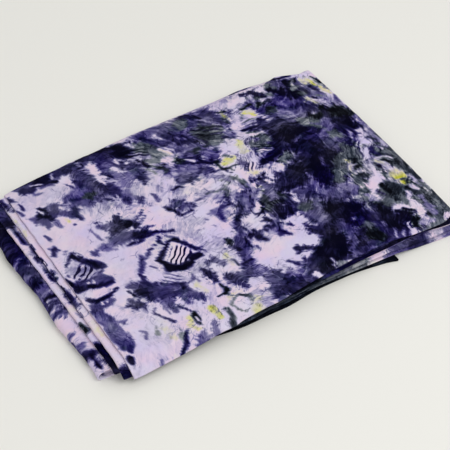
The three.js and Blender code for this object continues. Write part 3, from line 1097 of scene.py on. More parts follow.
    Dab(-27, -124, -22, -144, 5, 6, INDIGO), Dab(-20, -128, -26, -136, 3, 4, NAVY),
    Dab(-42, -136, -38, -143, 3.5, 4, LILAC), Dab(-10, -134, 20, -136, 10, 10, NAVY),
    Dab(-56, -87, -44, -96, 5, 5, NAVY), Dab(-50, -97, -47, -110, 5, 3, NAVY),
    Dab(-43, -96, -30, -98, 4, 5, INDIGO), Dab(-72, -66, -68, -86, 4, 2.4, NAVY),
    Dab(-64, -63, -52, -62, 3, 3, INDIGO), Dab(-52, -62, -50, -73, 3, 2, VIOLET),
    # The straw-coloured ring by the near edge.
    Line(-84, -148, -81, -132, 4.4, 2.6, DUSK), Line(-81, -132, -80, -123, 2.6, 1.2, DUSK),
    Line(-84, -124, -78, -125, 0.9, 0.9, DUSK), Dab(-46, -128, -58, -143, 5, 6, STRAW),
    Dab(-50, -136, -56, -142, 3, 3, LEMON), Dab(-70, -112, -56, -112, 4, 4, STRAW),
    Dab(-60, -122, -61, -130, 6, 6, PALE), Line(-66, -115, -72, -122, 1.8, 1.8, SLATE),
    Line(-72, -122, -71, -130, 2.2, 2, SLATE), Line(-71, -130, -66, -137, 1.6, 1.4, SLATE),
    Line(-66, -137, -60, -136, 1.6, 1.2, SLATE), Line(-66, -115, -59, -114, 1, 1.2, SLATE),
    Line(-59, -114, -52, -121, 1.8, 2.8, MOSS), Line(-52, -121, -50, -128, 2.4, 1.4, SLATE),
    Line(-50, -128, -54, -134, 1.2, 0.9, SLATE), Line(-79, -106, -71, -107, 0.9, 2, MOSS),
    Line(-71, -107, -66, -102, 2, 2.6, MOSS), Line(-70, -108, -62, -114, 1, 0.9, SLATE),
    Line(-67, -92, -66, -102, 0.9, 2.4, MOSS),
    # The pale heart and its rim.
    Dab(0, -86, 46, -82, 17, 15, WHITE), Dab(44, -66, 54, -50, 9, 7, WHITE),
    Line(6, -98, 9, -110, 5, 2, WHITE), Line(20, -98, 22, -119, 3.6, 1.8, WHITE),
    Line(10, -102, 15, -110, 2.4, 3, NAVY), Dab(4, -116, 16, -122, 4, 5, VIOLET),
    Line(1, -106, 9, -120, 1.6, 1.4, LILAC), Dab(34, -88, 54, -99, 7, 3.4, WHITE),
    Dab(30, -102, 44, -106, 3, 2.4, WHITE), Dab(26, -90, 38, -98, 2.2, 3, NAVY),
    Dab(24, -97, 32, -99, 1.4, 1.2, NAVY), Dab(54, -68, 60, -84, 2.4, 5, NAVY),
    Dab(60, -76, 72, -82, 3, 4, NAVY), Dab(1, -50, 8, -62, 2.2, 4, NAVY),
    Dab(3, -45, 3, -46, 2.4, 2.4, NAVY), Dab(-2, -50, 36, -51, 2.4, 3, NAVY),
    Dab(18, -56, 28, -60, 4, 4, LILAC), Dab(11, -56, 12, -62, 2.4, 2.4, PALE),
    Dab(20, -52, 22, -62, 1.4, 1.4, NAVY), Dab(28, -46, 28, -64, 2.2, 3, NAVY),
    Line(30, -62, 33, -71, 2, 2, NAVY), Dab(12, -36, 20, -35, 8, 7, WHITE),
    Dab(8, -44, 22, -42, 3, 3, WHITE), Dab(12, -24, 13, -28, 2, 3, WHITE),
    Dab(36, -54, 40, -56, 3, 3, PALE), Dab(54, -54, 56, -62, 4, 3, PALE),
    Dab(40, -56, 43, -60, 2, 2, NAVY),
    # The broken middle right: pale islands, straw patches and dark strokes.
    Line(30, -12, 23, -21, 2.8, 4.8, WHITE), Line(12, -22, 27, -29, 1, 1.6, NAVY),
    Dab(24, -36, 27, -46, 2, 3, NAVY), Line(35, -6, 28, -27, 1.4, 2, BLACK),
    Dab(34, -30, 30, -48, 3, 3.4, INDIGO), Dab(40, -10, 37, -31, 3.6, 5, DUSK),
    Dab(22, 6, 20, -8, 6, 5, INDIGO), Dab(27, 8, 33, 14, 3, 1.6, NAVY),
    Dab(32, 3, 34, -5, 4, 4, VIOLET), Dab(27, 42, 38, 37, 4, 5, PALE),
    Dab(36, 40, 40, 12, 5, 4.6, WHITE), Dab(47, 31, 55, 25, 3.4, 4, STRAW),
    Dab(20, 20, 26, 20, 8, 6, PALE), Line(9, 8, 15, 13, 3, 3, LILAC),
    Dab(26, 36, 33, 22, 3, 3, SLATE), Line(25, 47, 30, 40, 1.8, 1.2, NAVY),
    Line(32, 47, 36, 41, 1.8, 1.2, SLATE), Dab(46, 54, 48, 42, 2.6, 2.4, VIOLET),
    Dab(21, 40, 22, 30, 4, 3, VIOLET), Line(41, 18, 42, 23, 1.8, 1.8, BLACK),
    Line(34, -8, 50, 11, 2.6, 3.2, PALE), Line(43, 1, 50, 10, 1.4, 1.8, LEMON),
    Dab(42, -2, 48, 6, 1.4, 1.4, MOSS), Dab(42, -12, 54, -18, 8, 8, DUSK),
    Dab(47, -6, 50, -14, 5, 6, VIOLET), Dab(51, 0, 52, 12, 5, 3, VIOLET),
    Line(57, 10, 60, 4, 2.4, 2, PALE), Dab(42, -38, 52, -40, 8, 9, BLACK),
    Dab(56, -22, 60, -44, 3, 3, NAVY), Line(61, -12, 69, -19, 1.6, 2, LILAC),
    Line(70, -17, 86, -19, 1.6, 1.2, VIOLET), Line(70, -23, 65, -35, 2.8, 3.2, PALE),
    Dab(62, -34, 64, -46, 2, 2, NAVY), Dab(78, -22, 66, -44, 1.4, 1.6, NAVY),
    Dab(48, 78, 60, 70, 5, 6, PALE), Dab(44, 84, 54, 82, 3, 3, LILAC),
    Line(32, 57, 42, 60, 6, 7, LEMON), Line(30, 55, 41, 56, 3.2, 3.4, LIME),
    Line(38, 68, 42, 63, 2.6, 2.6, SLATE), Line(25, 48, 43, 47.5, 1.4, 1.6, MOSS),
    Dab(60, 68, 66, 76, 6, 5.4, LEMON), Dab(58, 64, 64, 60, 4, 3, LEMON),
    Dab(52, 44, 54, 52, 4, 3, VIOLET), Dab(46, 36, 52, 44, 1.8, 2, NAVY),
    Line(65, 25, 66, 7, 3.4, 4.2, WHITE), Dab(60, 46, 66, 46, 4, 4, PALE),
    Line(60, 31, 76, 41, 2.6, 2, NAVY), Line(49, 18, 60, 12, 1.8, 1.4, NAVY),
    Dab(70, 11, 76, 5, 3, 3, NAVY), Dab(79, 30, 80, 18, 5, 5, PALE),
    Dab(84, 24, 86, 19, 2.2, 2.2, STRAW), Dab(86, 12, 99, 9, 6, 7, BLACK),
    Dab(101, 23, 116, 12, 6, 8, BLACK), Line(81, 28, 90, 31, 1, 1.2, MOSS),
    Dab(80, 38, 104, 47, 5, 9, BLACK), Dab(66, 34, 84, 44, 2, 3, BLACK),
    Dab(88, 28, 104, 34, 4, 5, SLATE), Dab(82, 2, 94, -6, 13, 12, BLACK),
    Dab(68, 2, 71, -10, 6, 7, BLACK), Dab(104, 17, 105, 18, 2.4, 2.4, LILAC),
    Line(76, 53, 88, 51, 3.6, 3, PALE), Dab(76, 65, 82, 63, 4, 3.4, MIST),
    Line(78, 59, 91, 57, 1.8, 1.4, MOSS), Dab(82, 64, 94, 70, 5, 6, SLATE),
    Dab(70, 63, 77, 72, 2, 2, SLATE),
    # The pale lilac field at the far edge, with straw squares in it.
    Dab(74, 142, 102, 146, 10, 12, PALE), Dab(88, 152, 92, 146, 5, 5, LILAC),
    Dab(82, 118, 72, 92, 7, 8, PALE), Dab(76, 84, 92, 78, 4, 4, PALE),
    Line(92, 92, 98, 76, 1.6, 2, LILAC), Dab(80, 79, 90, 77, 1.4, 2, DUSK),
    Line(78, 87, 94, 82, 0.9, 1.2, DUSK), Line(73, 131, 71, 117, 3.6, 4, LEMON),
    Line(72, 126, 71, 120, 1.6, 1.6, LIME), Line(68, 134, 78, 129, 1, 1.2, MOSS),
    Line(67, 125, 71, 113, 1.1, 1.8, DUSK), Line(96, 116, 104, 110, 4.6, 5.4, LEMON),
    Line(100, 112, 103, 108, 2.4, 2.4, LIME), Dab(90, 118, 86, 108, 1.2, 1.2, SLATE),
    Line(95, 124, 108, 125, 2, 2.6, MOSS), Line(84, 103, 102, 101, 1, 1.4, SLATE),
    Line(78, 94, 98, 88, 2, 2.8, BLACK), Dab(104, 96, 100, 82, 4, 5, NAVY),
    # The far slate cloud with its slanting streaks.
    Dab(30, 150, 46, 140, 6, 4, BLACK), Dab(20, 146, 26, 136, 6, 6, SLATE),
    Dab(24, 128, 36, 124, 4, 4, LILAC), Dab(32, 118, 58, 106, 9, 8, SLATE),
    Dab(30, 124, 56, 110, 1.4, 1.8, NAVY), Dab(28, 116, 50, 102, 1.6, 1.8, BLACK),
    Dab(38, 124, 62, 112, 1.4, 1.4, DUSK), Dab(34, 104, 46, 96, 8, 8, DUSK),
    Dab(24, 112, 34, 100, 1.6, 1.6, NAVY), Dab(44, 108, 60, 100, 1.4, 1.6, NAVY),
    Dab(34, 92, 44, 90, 4, 4, SLATE), Dab(57, 142, 62, 126, 7, 5, INDIGO),
    Line(45, 134, 61, 116, 1.4, 1.8, LILAC), Dab(20, 124, 22, 112, 3, 3, VIOLET),
    Dab(59, 100, 63, 94, 4, 4, VIOLET), Dab(63, 98, 65, 112, 2.4, 2.4, LILAC),
    Dab(52, 95, 64, 87, 2, 2, NAVY), Dab(28, 87, 45, 86, 3, 2.4, LILAC),
    Dab(22, 82, 30, 74, 7, 6, VIOLET),
    # The far right: lilac islands, violet clouds, dark moss and a straw corner.
    Dab(112, 153, 124, 152, 6, 5, PALE), Dab(108, 146, 120, 141, 3, 4, NAVY),
    Dab(107, 138, 109, 137, 3.4, 3, WHITE), Dab(122, 145, 128, 134, 4, 5, NAVY),
    Dab(132, 144, 138, 137, 5, 4, PALE), Dab(146, 146, 156, 134, 6, 6, SLATE),
    Line(123, 125, 135, 122.5, 3.8, 3.2, PALE), Line(117, 137, 113, 122, 2.6, 2.2, LILAC),
    Dab(142, 138, 148, 130, 3, 4, BLACK), Dab(116, 119, 130, 117, 4, 4, MOSS),
    Dab(156, 150, 158, 138, 7, 6, INDIGO), Line(104, 160, 146, 161, 2.4, 3, NAVY),
    Line(146, 161, 178, 149, 3, 3, NAVY), Dab(153, 127, 165, 116, 6, 7, BLACK),
    Dab(167, 144, 165, 124, 4, 5, BLACK), Dab(128, 108, 146, 90, 14, 14, INDIGO),
    Dab(116, 110, 118, 98, 6, 6, INDIGO), Dab(124, 108, 125, 100, 5, 5, DUSK),
    Dab(136, 96, 144, 84, 5, 6, VIOLET), Dab(138, 120, 142, 104, 3, 3, VIOLET),
    Dab(130, 110, 140, 100, 1.2, 1.2, NAVY), Dab(118, 92, 126, 88, 7, 6, INDIGO),
    Dab(117, 84, 124, 82, 4, 4, NAVY), Dab(150, 100, 160, 94, 4, 4, NAVY),
    Dab(152, 78, 156, 90, 5, 4, VIOLET), Dab(164, 90, 167, 82, 6, 5, INDIGO),
    Dab(158, 72, 168, 70, 5, 5, MOSS), Dab(169, 124, 172, 130, 4, 3, MIST),
    Dab(168, 114, 176, 110, 3, 3, SLATE), Dab(174, 140, 178, 136, 2.4, 3, MOSS),
    Dab(192, 131, 194, 121, 4, 5, LEMON), Dab(194, 128, 194, 123, 2, 2, LIME),
    Dab(184, 134, 186, 120, 3.4, 3, STRAW), Dab(188, 119, 196, 112, 4, 3, NAVY),
    Dab(183, 111, 187, 107, 4, 3, INDIGO), Dab(202, 136, 205, 122, 2, 2, MOSS),
    Dab(200, 112, 203, 98, 4.4, 4, LEMON), Dab(173, 103, 180, 87, 3.4, 4.4, LEMON),
    Line(172, 133, 178, 140, 2, 1.4, LEMON), Dab(182, 96, 190, 84, 4, 5, LILAC),
    Dab(186, 102, 196, 88, 2, 2, SLATE), Dab(181, 101, 181, 98, 2.4, 2, BLACK),
    Dab(192, 92, 194, 82, 4, 5, VIOLET), Dab(177, 80, 178, 79, 3, 3, MOSS),
    # The black heart of the right field, and the slate streaks beside it.
    Dab(190, 65, 200, 60, 11, 8, MOSS), Dab(184, 46, 188, 38, 11, 9, BLACK),
    Dab(112, 66, 130, 60, 13, 13, BLACK), Dab(114, 44, 132, 20, 14, 15, BLACK),
    Dab(116, 14, 112, -22, 14, 12, BLACK), Dab(138, 12, 130, -10, 8, 7, BLACK),
    Dab(120, 46, 128, 50, 2.4, 2.4, INDIGO), Dab(137, 44, 140, 32, 4, 4, NAVY),
    Dab(126, 9, 122, -3, 2, 2.4, VIOLET), Dab(146, 72, 164, 56, 7, 8, SLATE),
    Dab(158, 46, 166, 32, 6, 7, SLATE), Dab(150, 34, 151, 10, 4, 4, NAVY),
    Dab(176, 50, 177, 34, 5, 5, BLACK), Dab(150, 64, 170, 50, 1.6, 1.6, VIOLET),
    Dab(168, 60, 164, 46, 6, 5, VIOLET), Dab(155, 46, 152, 40, 4, 4, VIOLET),
    Dab(164, 30, 160, 14, 5, 5, SLATE), Dab(162, 26, 162, 20, 4, 4, INDIGO),
    Dab(166, 20, 172, 0, 3, 3, NAVY), Dab(152, -4, 166, -2, 8, 8, SLATE),
    Dab(154, -14, 153, -22, 6, 6, MOSS), Dab(144, -8, 146, -20, 2.2, 2.4, MIST),
    Dab(148, -8, 147, -24, 2, 3, LEMON), Dab(176, 2, 164, -28, 1.2, 1.2, PALE),
    Dab(170, 4, 158, -24, 1, 1.2, MIST), Dab(182, -2, 170, -30, 1.2, 1, DUSK),
    Dab(178, -8, 168, -30, 2.4, 4, PALE), Dab(180, 14, 188, 4, 5, 6, LILAC),
    Dab(184, 6, 188, -2, 4, 3, PALE), Dab(192, 25, 194, 15, 4, 4, PALE),
    Line(180, 28, 176, 19, 2, 1.6, LILAC), Dab(182, 18, 180, 22, 2.6, 2.6, NAVY),
    Dab(182, -8, 185, -20, 3, 4, NAVY), Dab(190, -3, 196, -14, 2, 2, PALE),
    Line(191, -4, 194, -18, 1, 1, BLACK), Dab(188, -22, 196, -28, 2.6, 2.6, NAVY),
    Dab(120, -36, 140, -6, 5, 6, SLATE), Dab(124, -34, 138, -14, 1.6, 1.6, MIST),
    Dab(122, -45, 129, -52, 8, 8, VIOLET), Dab(104, -44, 112, -50, 8, 8, VIOLET),
    Dab(98, -40, 99, -10, 5, 3, VIOLET), Dab(76, -52, 72, -72, 8, 6, INDIGO),
    Line(58, -69, 70, -79, 1.8, 1.2, LILAC), Line(55, -84, 62, -95, 1.6, 1.2, LILAC),
    Dab(68, -44, 76, -46, 6, 6, DUSK), Dab(64, -54, 63, -66, 2, 2, NAVY),
    Dab(82, -46, 82, -58, 4, 4, INDIGO), Dab(95, -66, 110, -80, 13, 14, BLACK),
    # The near right: a pale pink island under an arc, straw spots, slate at the end.
    Line(131, -42, 139, -35, 1.8, 2, STRAW), Line(139, -35, 147, -32, 2, 2, STRAW),
    Dab(114, -40, 134, -38, 1.2, 1.4, LILAC), Line(147, -32, 155, -33, 2, 2, STRAW),
    Line(155, -33, 160, -43, 2, 1.4, STRAW), Dab(142, -42, 152, -40, 6, 6, DUSK),
    Dab(166, -36, 162, -50, 4, 5, PALE), Dab(162, -54, 152, -56, 6, 5, WHITE),
    Dab(150, -56, 146, -64, 6, 5, WHITE), Dab(156, -46, 150, -52, 3, 3, WHITE),
    Dab(138, -64, 136, -76, 3.6, 3.6, LILAC), Dab(134, -58, 140, -63, 3, 3, DUSK),
    Dab(168, -56, 166, -66, 3.4, 3, WHITE), Dab(182, -32, 188, -38, 3, 3, MOSS),
    Dab(190, -24, 198, -38, 2.4, 2.8, DUSK), Dab(186, -44, 192, -38, 2, 2, DUSK),
    Dab(181, -44, 182, -45, 2.6, 2.4, MIST), Dab(182, -50, 184, -72, 8, 8, LEMON),
    Dab(179, -28, 183, -44, 4, 5, STRAW), Dab(184, -30, 187, -37, 2.4, 2.6, MOSS),
    Line(175, -35, 175, -37, 2.2, 2.2, BLACK), Line(181, -23, 196, -32, 1.5, 1.3, PALE),
    Dab(186, -67, 183, -75, 3, 2.6, LIME), Line(186, -70, 185, -73, 1.6, 1.4, MOSS),
    Dab(181, -66, 190, -68, 1.2, 1.2, MOSS), Dab(190, -68, 182, -78, 1.2, 1.2, MOSS),
    Dab(186, -79, 192, -72, 1.5, 1.5, MOSS), Dab(177, -80, 181, -85, 3, 3, MOSS),
    # The first dab here belongs to the strip along the rounded right end: painted shading of the rounding.
    Dab(199, -40, 202, -72, 4, 5, DUSK), Dab(173, -51, 170, -58, 2, 2, DUSK),
    Line(160, -62, 160, -76, 3.4, 3.4, MOSS), Dab(150, -68, 152, -74, 2, 2, NAVY),
    Dab(168, -66, 166, -80, 5, 5, DUSK), Dab(170, -76, 172, -86, 4, 4, DUSK),
    Dab(142, -68, 145, -82, 2.6, 2.6, PALE), Dab(141, -66, 143, -69, 1.6, 1.6, LEMON),
    Dab(146, -78, 150, -84, 2.4, 2, LILAC), Dab(136, -74, 142, -82, 2.4, 2.4, LILAC),
    Dab(131, -84, 144, -95, 4.4, 4, NAVY), Dab(146, -88, 150, -93, 4, 4, SLATE),
    Dab(158, -82, 162, -90, 4, 3, MOSS), Dab(150, -84, 156, -94, 5, 4, SLATE),
    Line(178, -87, 169, -107, 4.2, 4.6, PALE), Dab(152, -99, 162, -103, 3, 3, WHITE),
    Dab(148, -104, 158, -116, 2.4, 3, BLACK), Line(154, -122, 158, -115, 1.5, 1.2, PALE),
    Line(159, -122, 163, -114, 1.5, 1.2, PALE), Line(146, -107, 149, -113, 1.8, 1.6, LILAC),
    Dab(158, -104, 166, -116, 2, 2.4, BLACK), Line(172, -113, 168, -130, 7, 5, PALE),
    Line(150, -125, 145, -137, 3.6, 4.2, WHITE), Dab(157, -122, 155, -131, 4, 3.4, MOSS),
    Dab(162, -132, 172, -136, 4, 3, LILAC), Dab(145, -111, 151, -119, 4, 4, BLACK),
    Dab(186, -94, 184, -130, 8, 7, DUSK), Dab(184, -100, 182, -126, 3, 3, VIOLET),
    Line(186, -80, 189, -88, 3.2, 2.6, PALE), Line(191, -74, 195, -92, 1.6, 1.4, MOSS),
    # The slate dab at x 200 to 202 belongs to the strip along the rounded right end: painted shading of the
    # rounding.
    Dab(198, -90, 199, -97, 2, 2, LEMON), Dab(200, -78, 202, -110, 3, 3, SLATE),
    Dab(187, -138, 193, -134, 3, 2.6, WHITE),
    # The near edge from the middle to the right: black, with slate and pale slits.
    Dab(30, -120, 62, -108, 12, 13, BLACK), Dab(28, -128, 24, -112, 4, 3, NAVY),
    Dab(60, -100, 76, -94, 9, 10, BLACK), Dab(70, -78, 66, -86, 5, 6, NAVY),
    Dab(85, -88, 90, -100, 6, 7, INDIGO), Dab(88, -102, 85, -109, 4, 4, VIOLET),
    Line(24, -132, 26, -140, 3.2, 3.4, WHITE), Line(49, -122, 46, -138, 1.6, 2.8, PALE),
    Dab(56, -136, 52, -130, 3.4, 2, MIST), Line(63, -136, 68, -140, 3, 2.4, PALE),
    Dab(83, -114, 73, -131, 4, 3, VIOLET), Dab(88, -136, 98, -133, 2, 1.6, VIOLET),
    Dab(98, -98, 99, -102, 2, 2, LILAC), Dab(104, -89, 104, -90, 2.2, 2.2, LILAC),
    Dab(108, -104, 110, -110, 5, 5, SLATE), Dab(106, -118, 112, -124, 7, 6, MOSS),
    Dab(120, -120, 130, -134, 4, 4, NAVY), Line(126, -110, 127, -115, 2.2, 2.2, PALE),
    Dab(135, -98, 134, -120, 8, 8, BLACK), Line(124, -136, 131, -123, 1.7, 1.3, LILAC),
    Line(133, -137, 136, -130, 1.7, 1.3, LILAC),
)
TALL_FOLD_DABS = (
    # Black, then navy and violet swirls, then pale.
    Dab(-228, 140, -228, 62, 18, 18, BLACK), Dab(-228, 62, -228, 20, 16, 16, NAVY),
    Dab(-234, 44, -226, 50, 3, 3, LILAC), Dab(-222, 38, -222, 38, 2, 2, LILAC),
    Dab(-231, 24, -227, 22, 4, 3, VIOLET), Dab(-228, 6, -228, -40, 16, 16, VIOLET),
    Dab(-222, 14, -228, 8, 7, 5, BLACK), Dab(-238, -8, -218, -6, 1.6, 2, LILAC),
    Dab(-236, -15, -214, -14, 2.4, 2.4, BLACK), Dab(-238, -22, -220, -19, 1.6, 2, PALE),
    Dab(-236, -28, -216, -24, 3.4, 3, NAVY), Dab(-238, -35, -218, -30, 1.6, 2, LILAC),
    Dab(-236, -42, -216, -35, 3.4, 3, NAVY), Dab(-228, -54, -226, -62, 12, 10, WHITE),
    Dab(-234, -72, -226, -70, 3, 3, VIOLET), Dab(-234, -84, -222, -90, 4, 4, VIOLET),
    Dab(-216, -78, -214, -96, 3, 3, WHITE), Dab(-230, -98, -222, -103, 5, 6, NAVY),
    Dab(-226, -116, -220, -132, 10, 10, WHITE), Dab(-221, -104, -221, -122, 3, 2.4, BLACK),
)
SIDE_DABS = (
    # The first fold at the left end: black in its far half, pale in its near half.
    SideDab((0.6, 2.4), Dab(-207, 150, -207, -140, 12, 12, WHITE)),
    # The next three dabs: its lower side, at levels 1.6 to 2.5, is dark along most of its length, which is
    # dye and painted shade of the crevice between the first and second folds.
    SideDab((1.6, 2.5), Dab(-207, 76, -207, 30, 7, 7, BLACK)),
    SideDab((1.6, 2.5), Dab(-207, 22, -207, -6, 6, 6, BLACK)),
    SideDab((1.9, 2.5), Dab(-207, -10, -207, -96, 5, 3, NAVY)),
    SideDab((1.2, 1.7), Dab(-207, 58, -207, 50, 2, 2, NAVY)),
    SideDab((1.2, 1.7), Dab(-207, 34, -207, 20, 2, 2, BLACK)),
    SideDab((1.0, 1.5), Dab(-207, 8, -207, -2, 2, 2, NAVY)),
    SideDab((0.6, 1.2), Dab(-205, 100, -205, 70, 3, 3, STRAW)),
    SideDab((0.6, 2.4), Dab(-204, 135, -204, 112, 3, 3, NAVY)),
    SideDab((0.6, 2.4), Dab(-207, -24, -207, -44, 5, 5, NAVY)),
    SideDab((0.6, 2.4), Dab(-204, -84, -204, -94, 4, 4, STRAW)),
    # The second fold: pale, with dark specks and lines on its inner side, under the first fold, which are
    # dye and painted shade of the crevice between the two folds.
    SideDab((2.6, 4.6), Dab(-215, 130, -215, -110, 14, 14, WHITE)),
    SideDab((2.6, 4.6), Dab(-212, 130, -212, 98, 8, 8, NAVY)),
    SideDab((2.6, 3.4), Dab(-212, 92, -211, 66, 2, 4, BLACK)),
    SideDab((2.6, 3.4), Dab(-208, 60, -208, 0, 3, 3, BLACK)),
    SideDab((2.6, 3.4), Dab(-208, 30, -208, 12, 4, 4, INDIGO)),
    SideDab((2.6, 3.4), Dab(-207, -2, -206, -60, 3, 3, NAVY)),
    # Black at the second fold's near end: painted shade of the opening between the leg ends there.
    SideDab((2.6, 4.6), Dab(-214, -104, -211, -130, 10, 12, BLACK)),
    SideDab((2.6, 4.6), Dab(-214, -66, -213, -76, 3, 3, MOSS)),
    *(SideDab((4.7, 10), dab) for dab in TALL_FOLD_DABS),
    # The near side, from the left corner to the flap at the right, with painted shade in the crevice under
    # the top leg's near edge and a painted highlight on the bend below it.
    SideDab((0.6, 10), Dab(-190, -146, 40, -146, 14, 14, DUSK)),
    # Straw on the bend just under the top leg's near edge: a painted highlight.
    SideDab((0.6, 1.1), Dab(-150, -148, -60, -148, 5, 5, STRAW)),
    # Moss here and black further right, at levels 1.2 to 2.4: painted shade of the crevice under the top
    # leg's near edge.
    SideDab((1.2, 2.4), Dab(-190, -148, 60, -148, 8, 8, MOSS)),
    SideDab((0.6, 10), Dab(-205, -146, -190, -146, 10, 8, NAVY)),
    SideDab((0.6, 2.4), Dab(40, -146, 210, -146, 18, 18, NAVY)),
    # Black at levels 1.2 to 2.4: painted shade of the crevice under the top leg's near edge.
    SideDab((1.2, 2.4), Dab(60, -146, 210, -146, 12, 12, BLACK)),
    SideDab((2.4, 8.4), Dab(20, -146, 78, -146, 14, 14, SLATE)),
    SideDab((2.4, 8.4), Dab(60, -146, 74, -146, 8, 8, MIST)),
    SideDab((2.4, 8.4), Dab(92, -146, 102, -146, 8, 8, WHITE)),
    SideDab((2.4, 8.4), Dab(116, -146, 132, -146, 12, 12, VIOLET)),
    SideDab((2.4, 8.4), Dab(144, -146, 156, -146, 10, 10, NAVY)),
    SideDab((3.4, 8.4), Dab(166, -148, 172, -148, 7, 7, PALE)),
    SideDab((3.4, 8.4), Dab(188, -148, 200, -148, 10, 10, VIOLET)),
    SideDab((8.4, 10), Dab(-100, -148, 130, -148, 26, 26, MOSS)),
)
LAYS = (
    Lay(-165, 120, 30, 10, 0.2),
    Lay(-170, 50, 34, 60, 0.1),
    Lay(-135, -15, 28, 30, 0.1),
    Lay(-140, -125, 50, 75, 0.7),
    Lay(20, -88, 26, 10, 0.1),
    Lay(-60, 75, 26, 30, 0.6),
    Lay(-150, 88, 30, 60, 0.9),
    Lay(-180, -10, 26, 45, 1.0),
    Lay(-100, 30, 32, 35, 1.1),
    Lay(-85, -35, 22, 40, 0.8),
    Lay(-125, -65, 30, -50, 1.0),
    Lay(-190, -90, 25, 80, 0.8),
    Lay(-60, 130, 40, -45),
    Lay(0, 125, 50, -45),
    Lay(40, 118, 40, -35),
    Lay(0, 60, 30, -20, 1.3),
    Lay(-30, 0, 30, 20, 1.0),
    Lay(-30, 30, 30, 20, 1.1),
    Lay(20, -20, 40, 60, 1.4),
    Lay(60, 20, 40, 55, 1.4),
    Lay(120, 20, 50, 60),
    Lay(85, 125, 24, 70, 0.7),
    Lay(120, 100, 40, 20, 1.3),
    Lay(172, 100, 40, 70, 1.4),
    Lay(180, 0, 40, 65, 1.4),
    Lay(160, -60, 30, 70),
    Lay(180, -100, 40, 70),
    Lay(60, -115, 50, 50),
    Lay(115, -110, 50, 60),
    Lay(-15, -120, 36, -45),
    Lay(-90, -115, 30, 75),
)
BARS = (
    Bars(-83, -37, 14, 11, 47, 5.4),
    Bars(-178, -5, 13, 9, 42, 5.5),
    Bars(-106, -61, 11, 7, -50, 4.4, 0.4),
    Bars(82, 57, 10, 7, -25, 4.0, 0.8),
    Bars(90, 90, 10, 6, -20, 4.6, 0.7),
    Bars(45, 116, 20, 12, -36, 5.0, 0.45),
    Bars(53, 39, 8, 7, 48, 4.4, 0.8),
    Bars(-42, 124, 11, 8, -30, 4.6, 0.7),
    Bars(150, -122, 9, 8, 58, 4.2, 0.8),
    Bars(166, 2, 20, 11, 62, 5.2, 0.6),
)


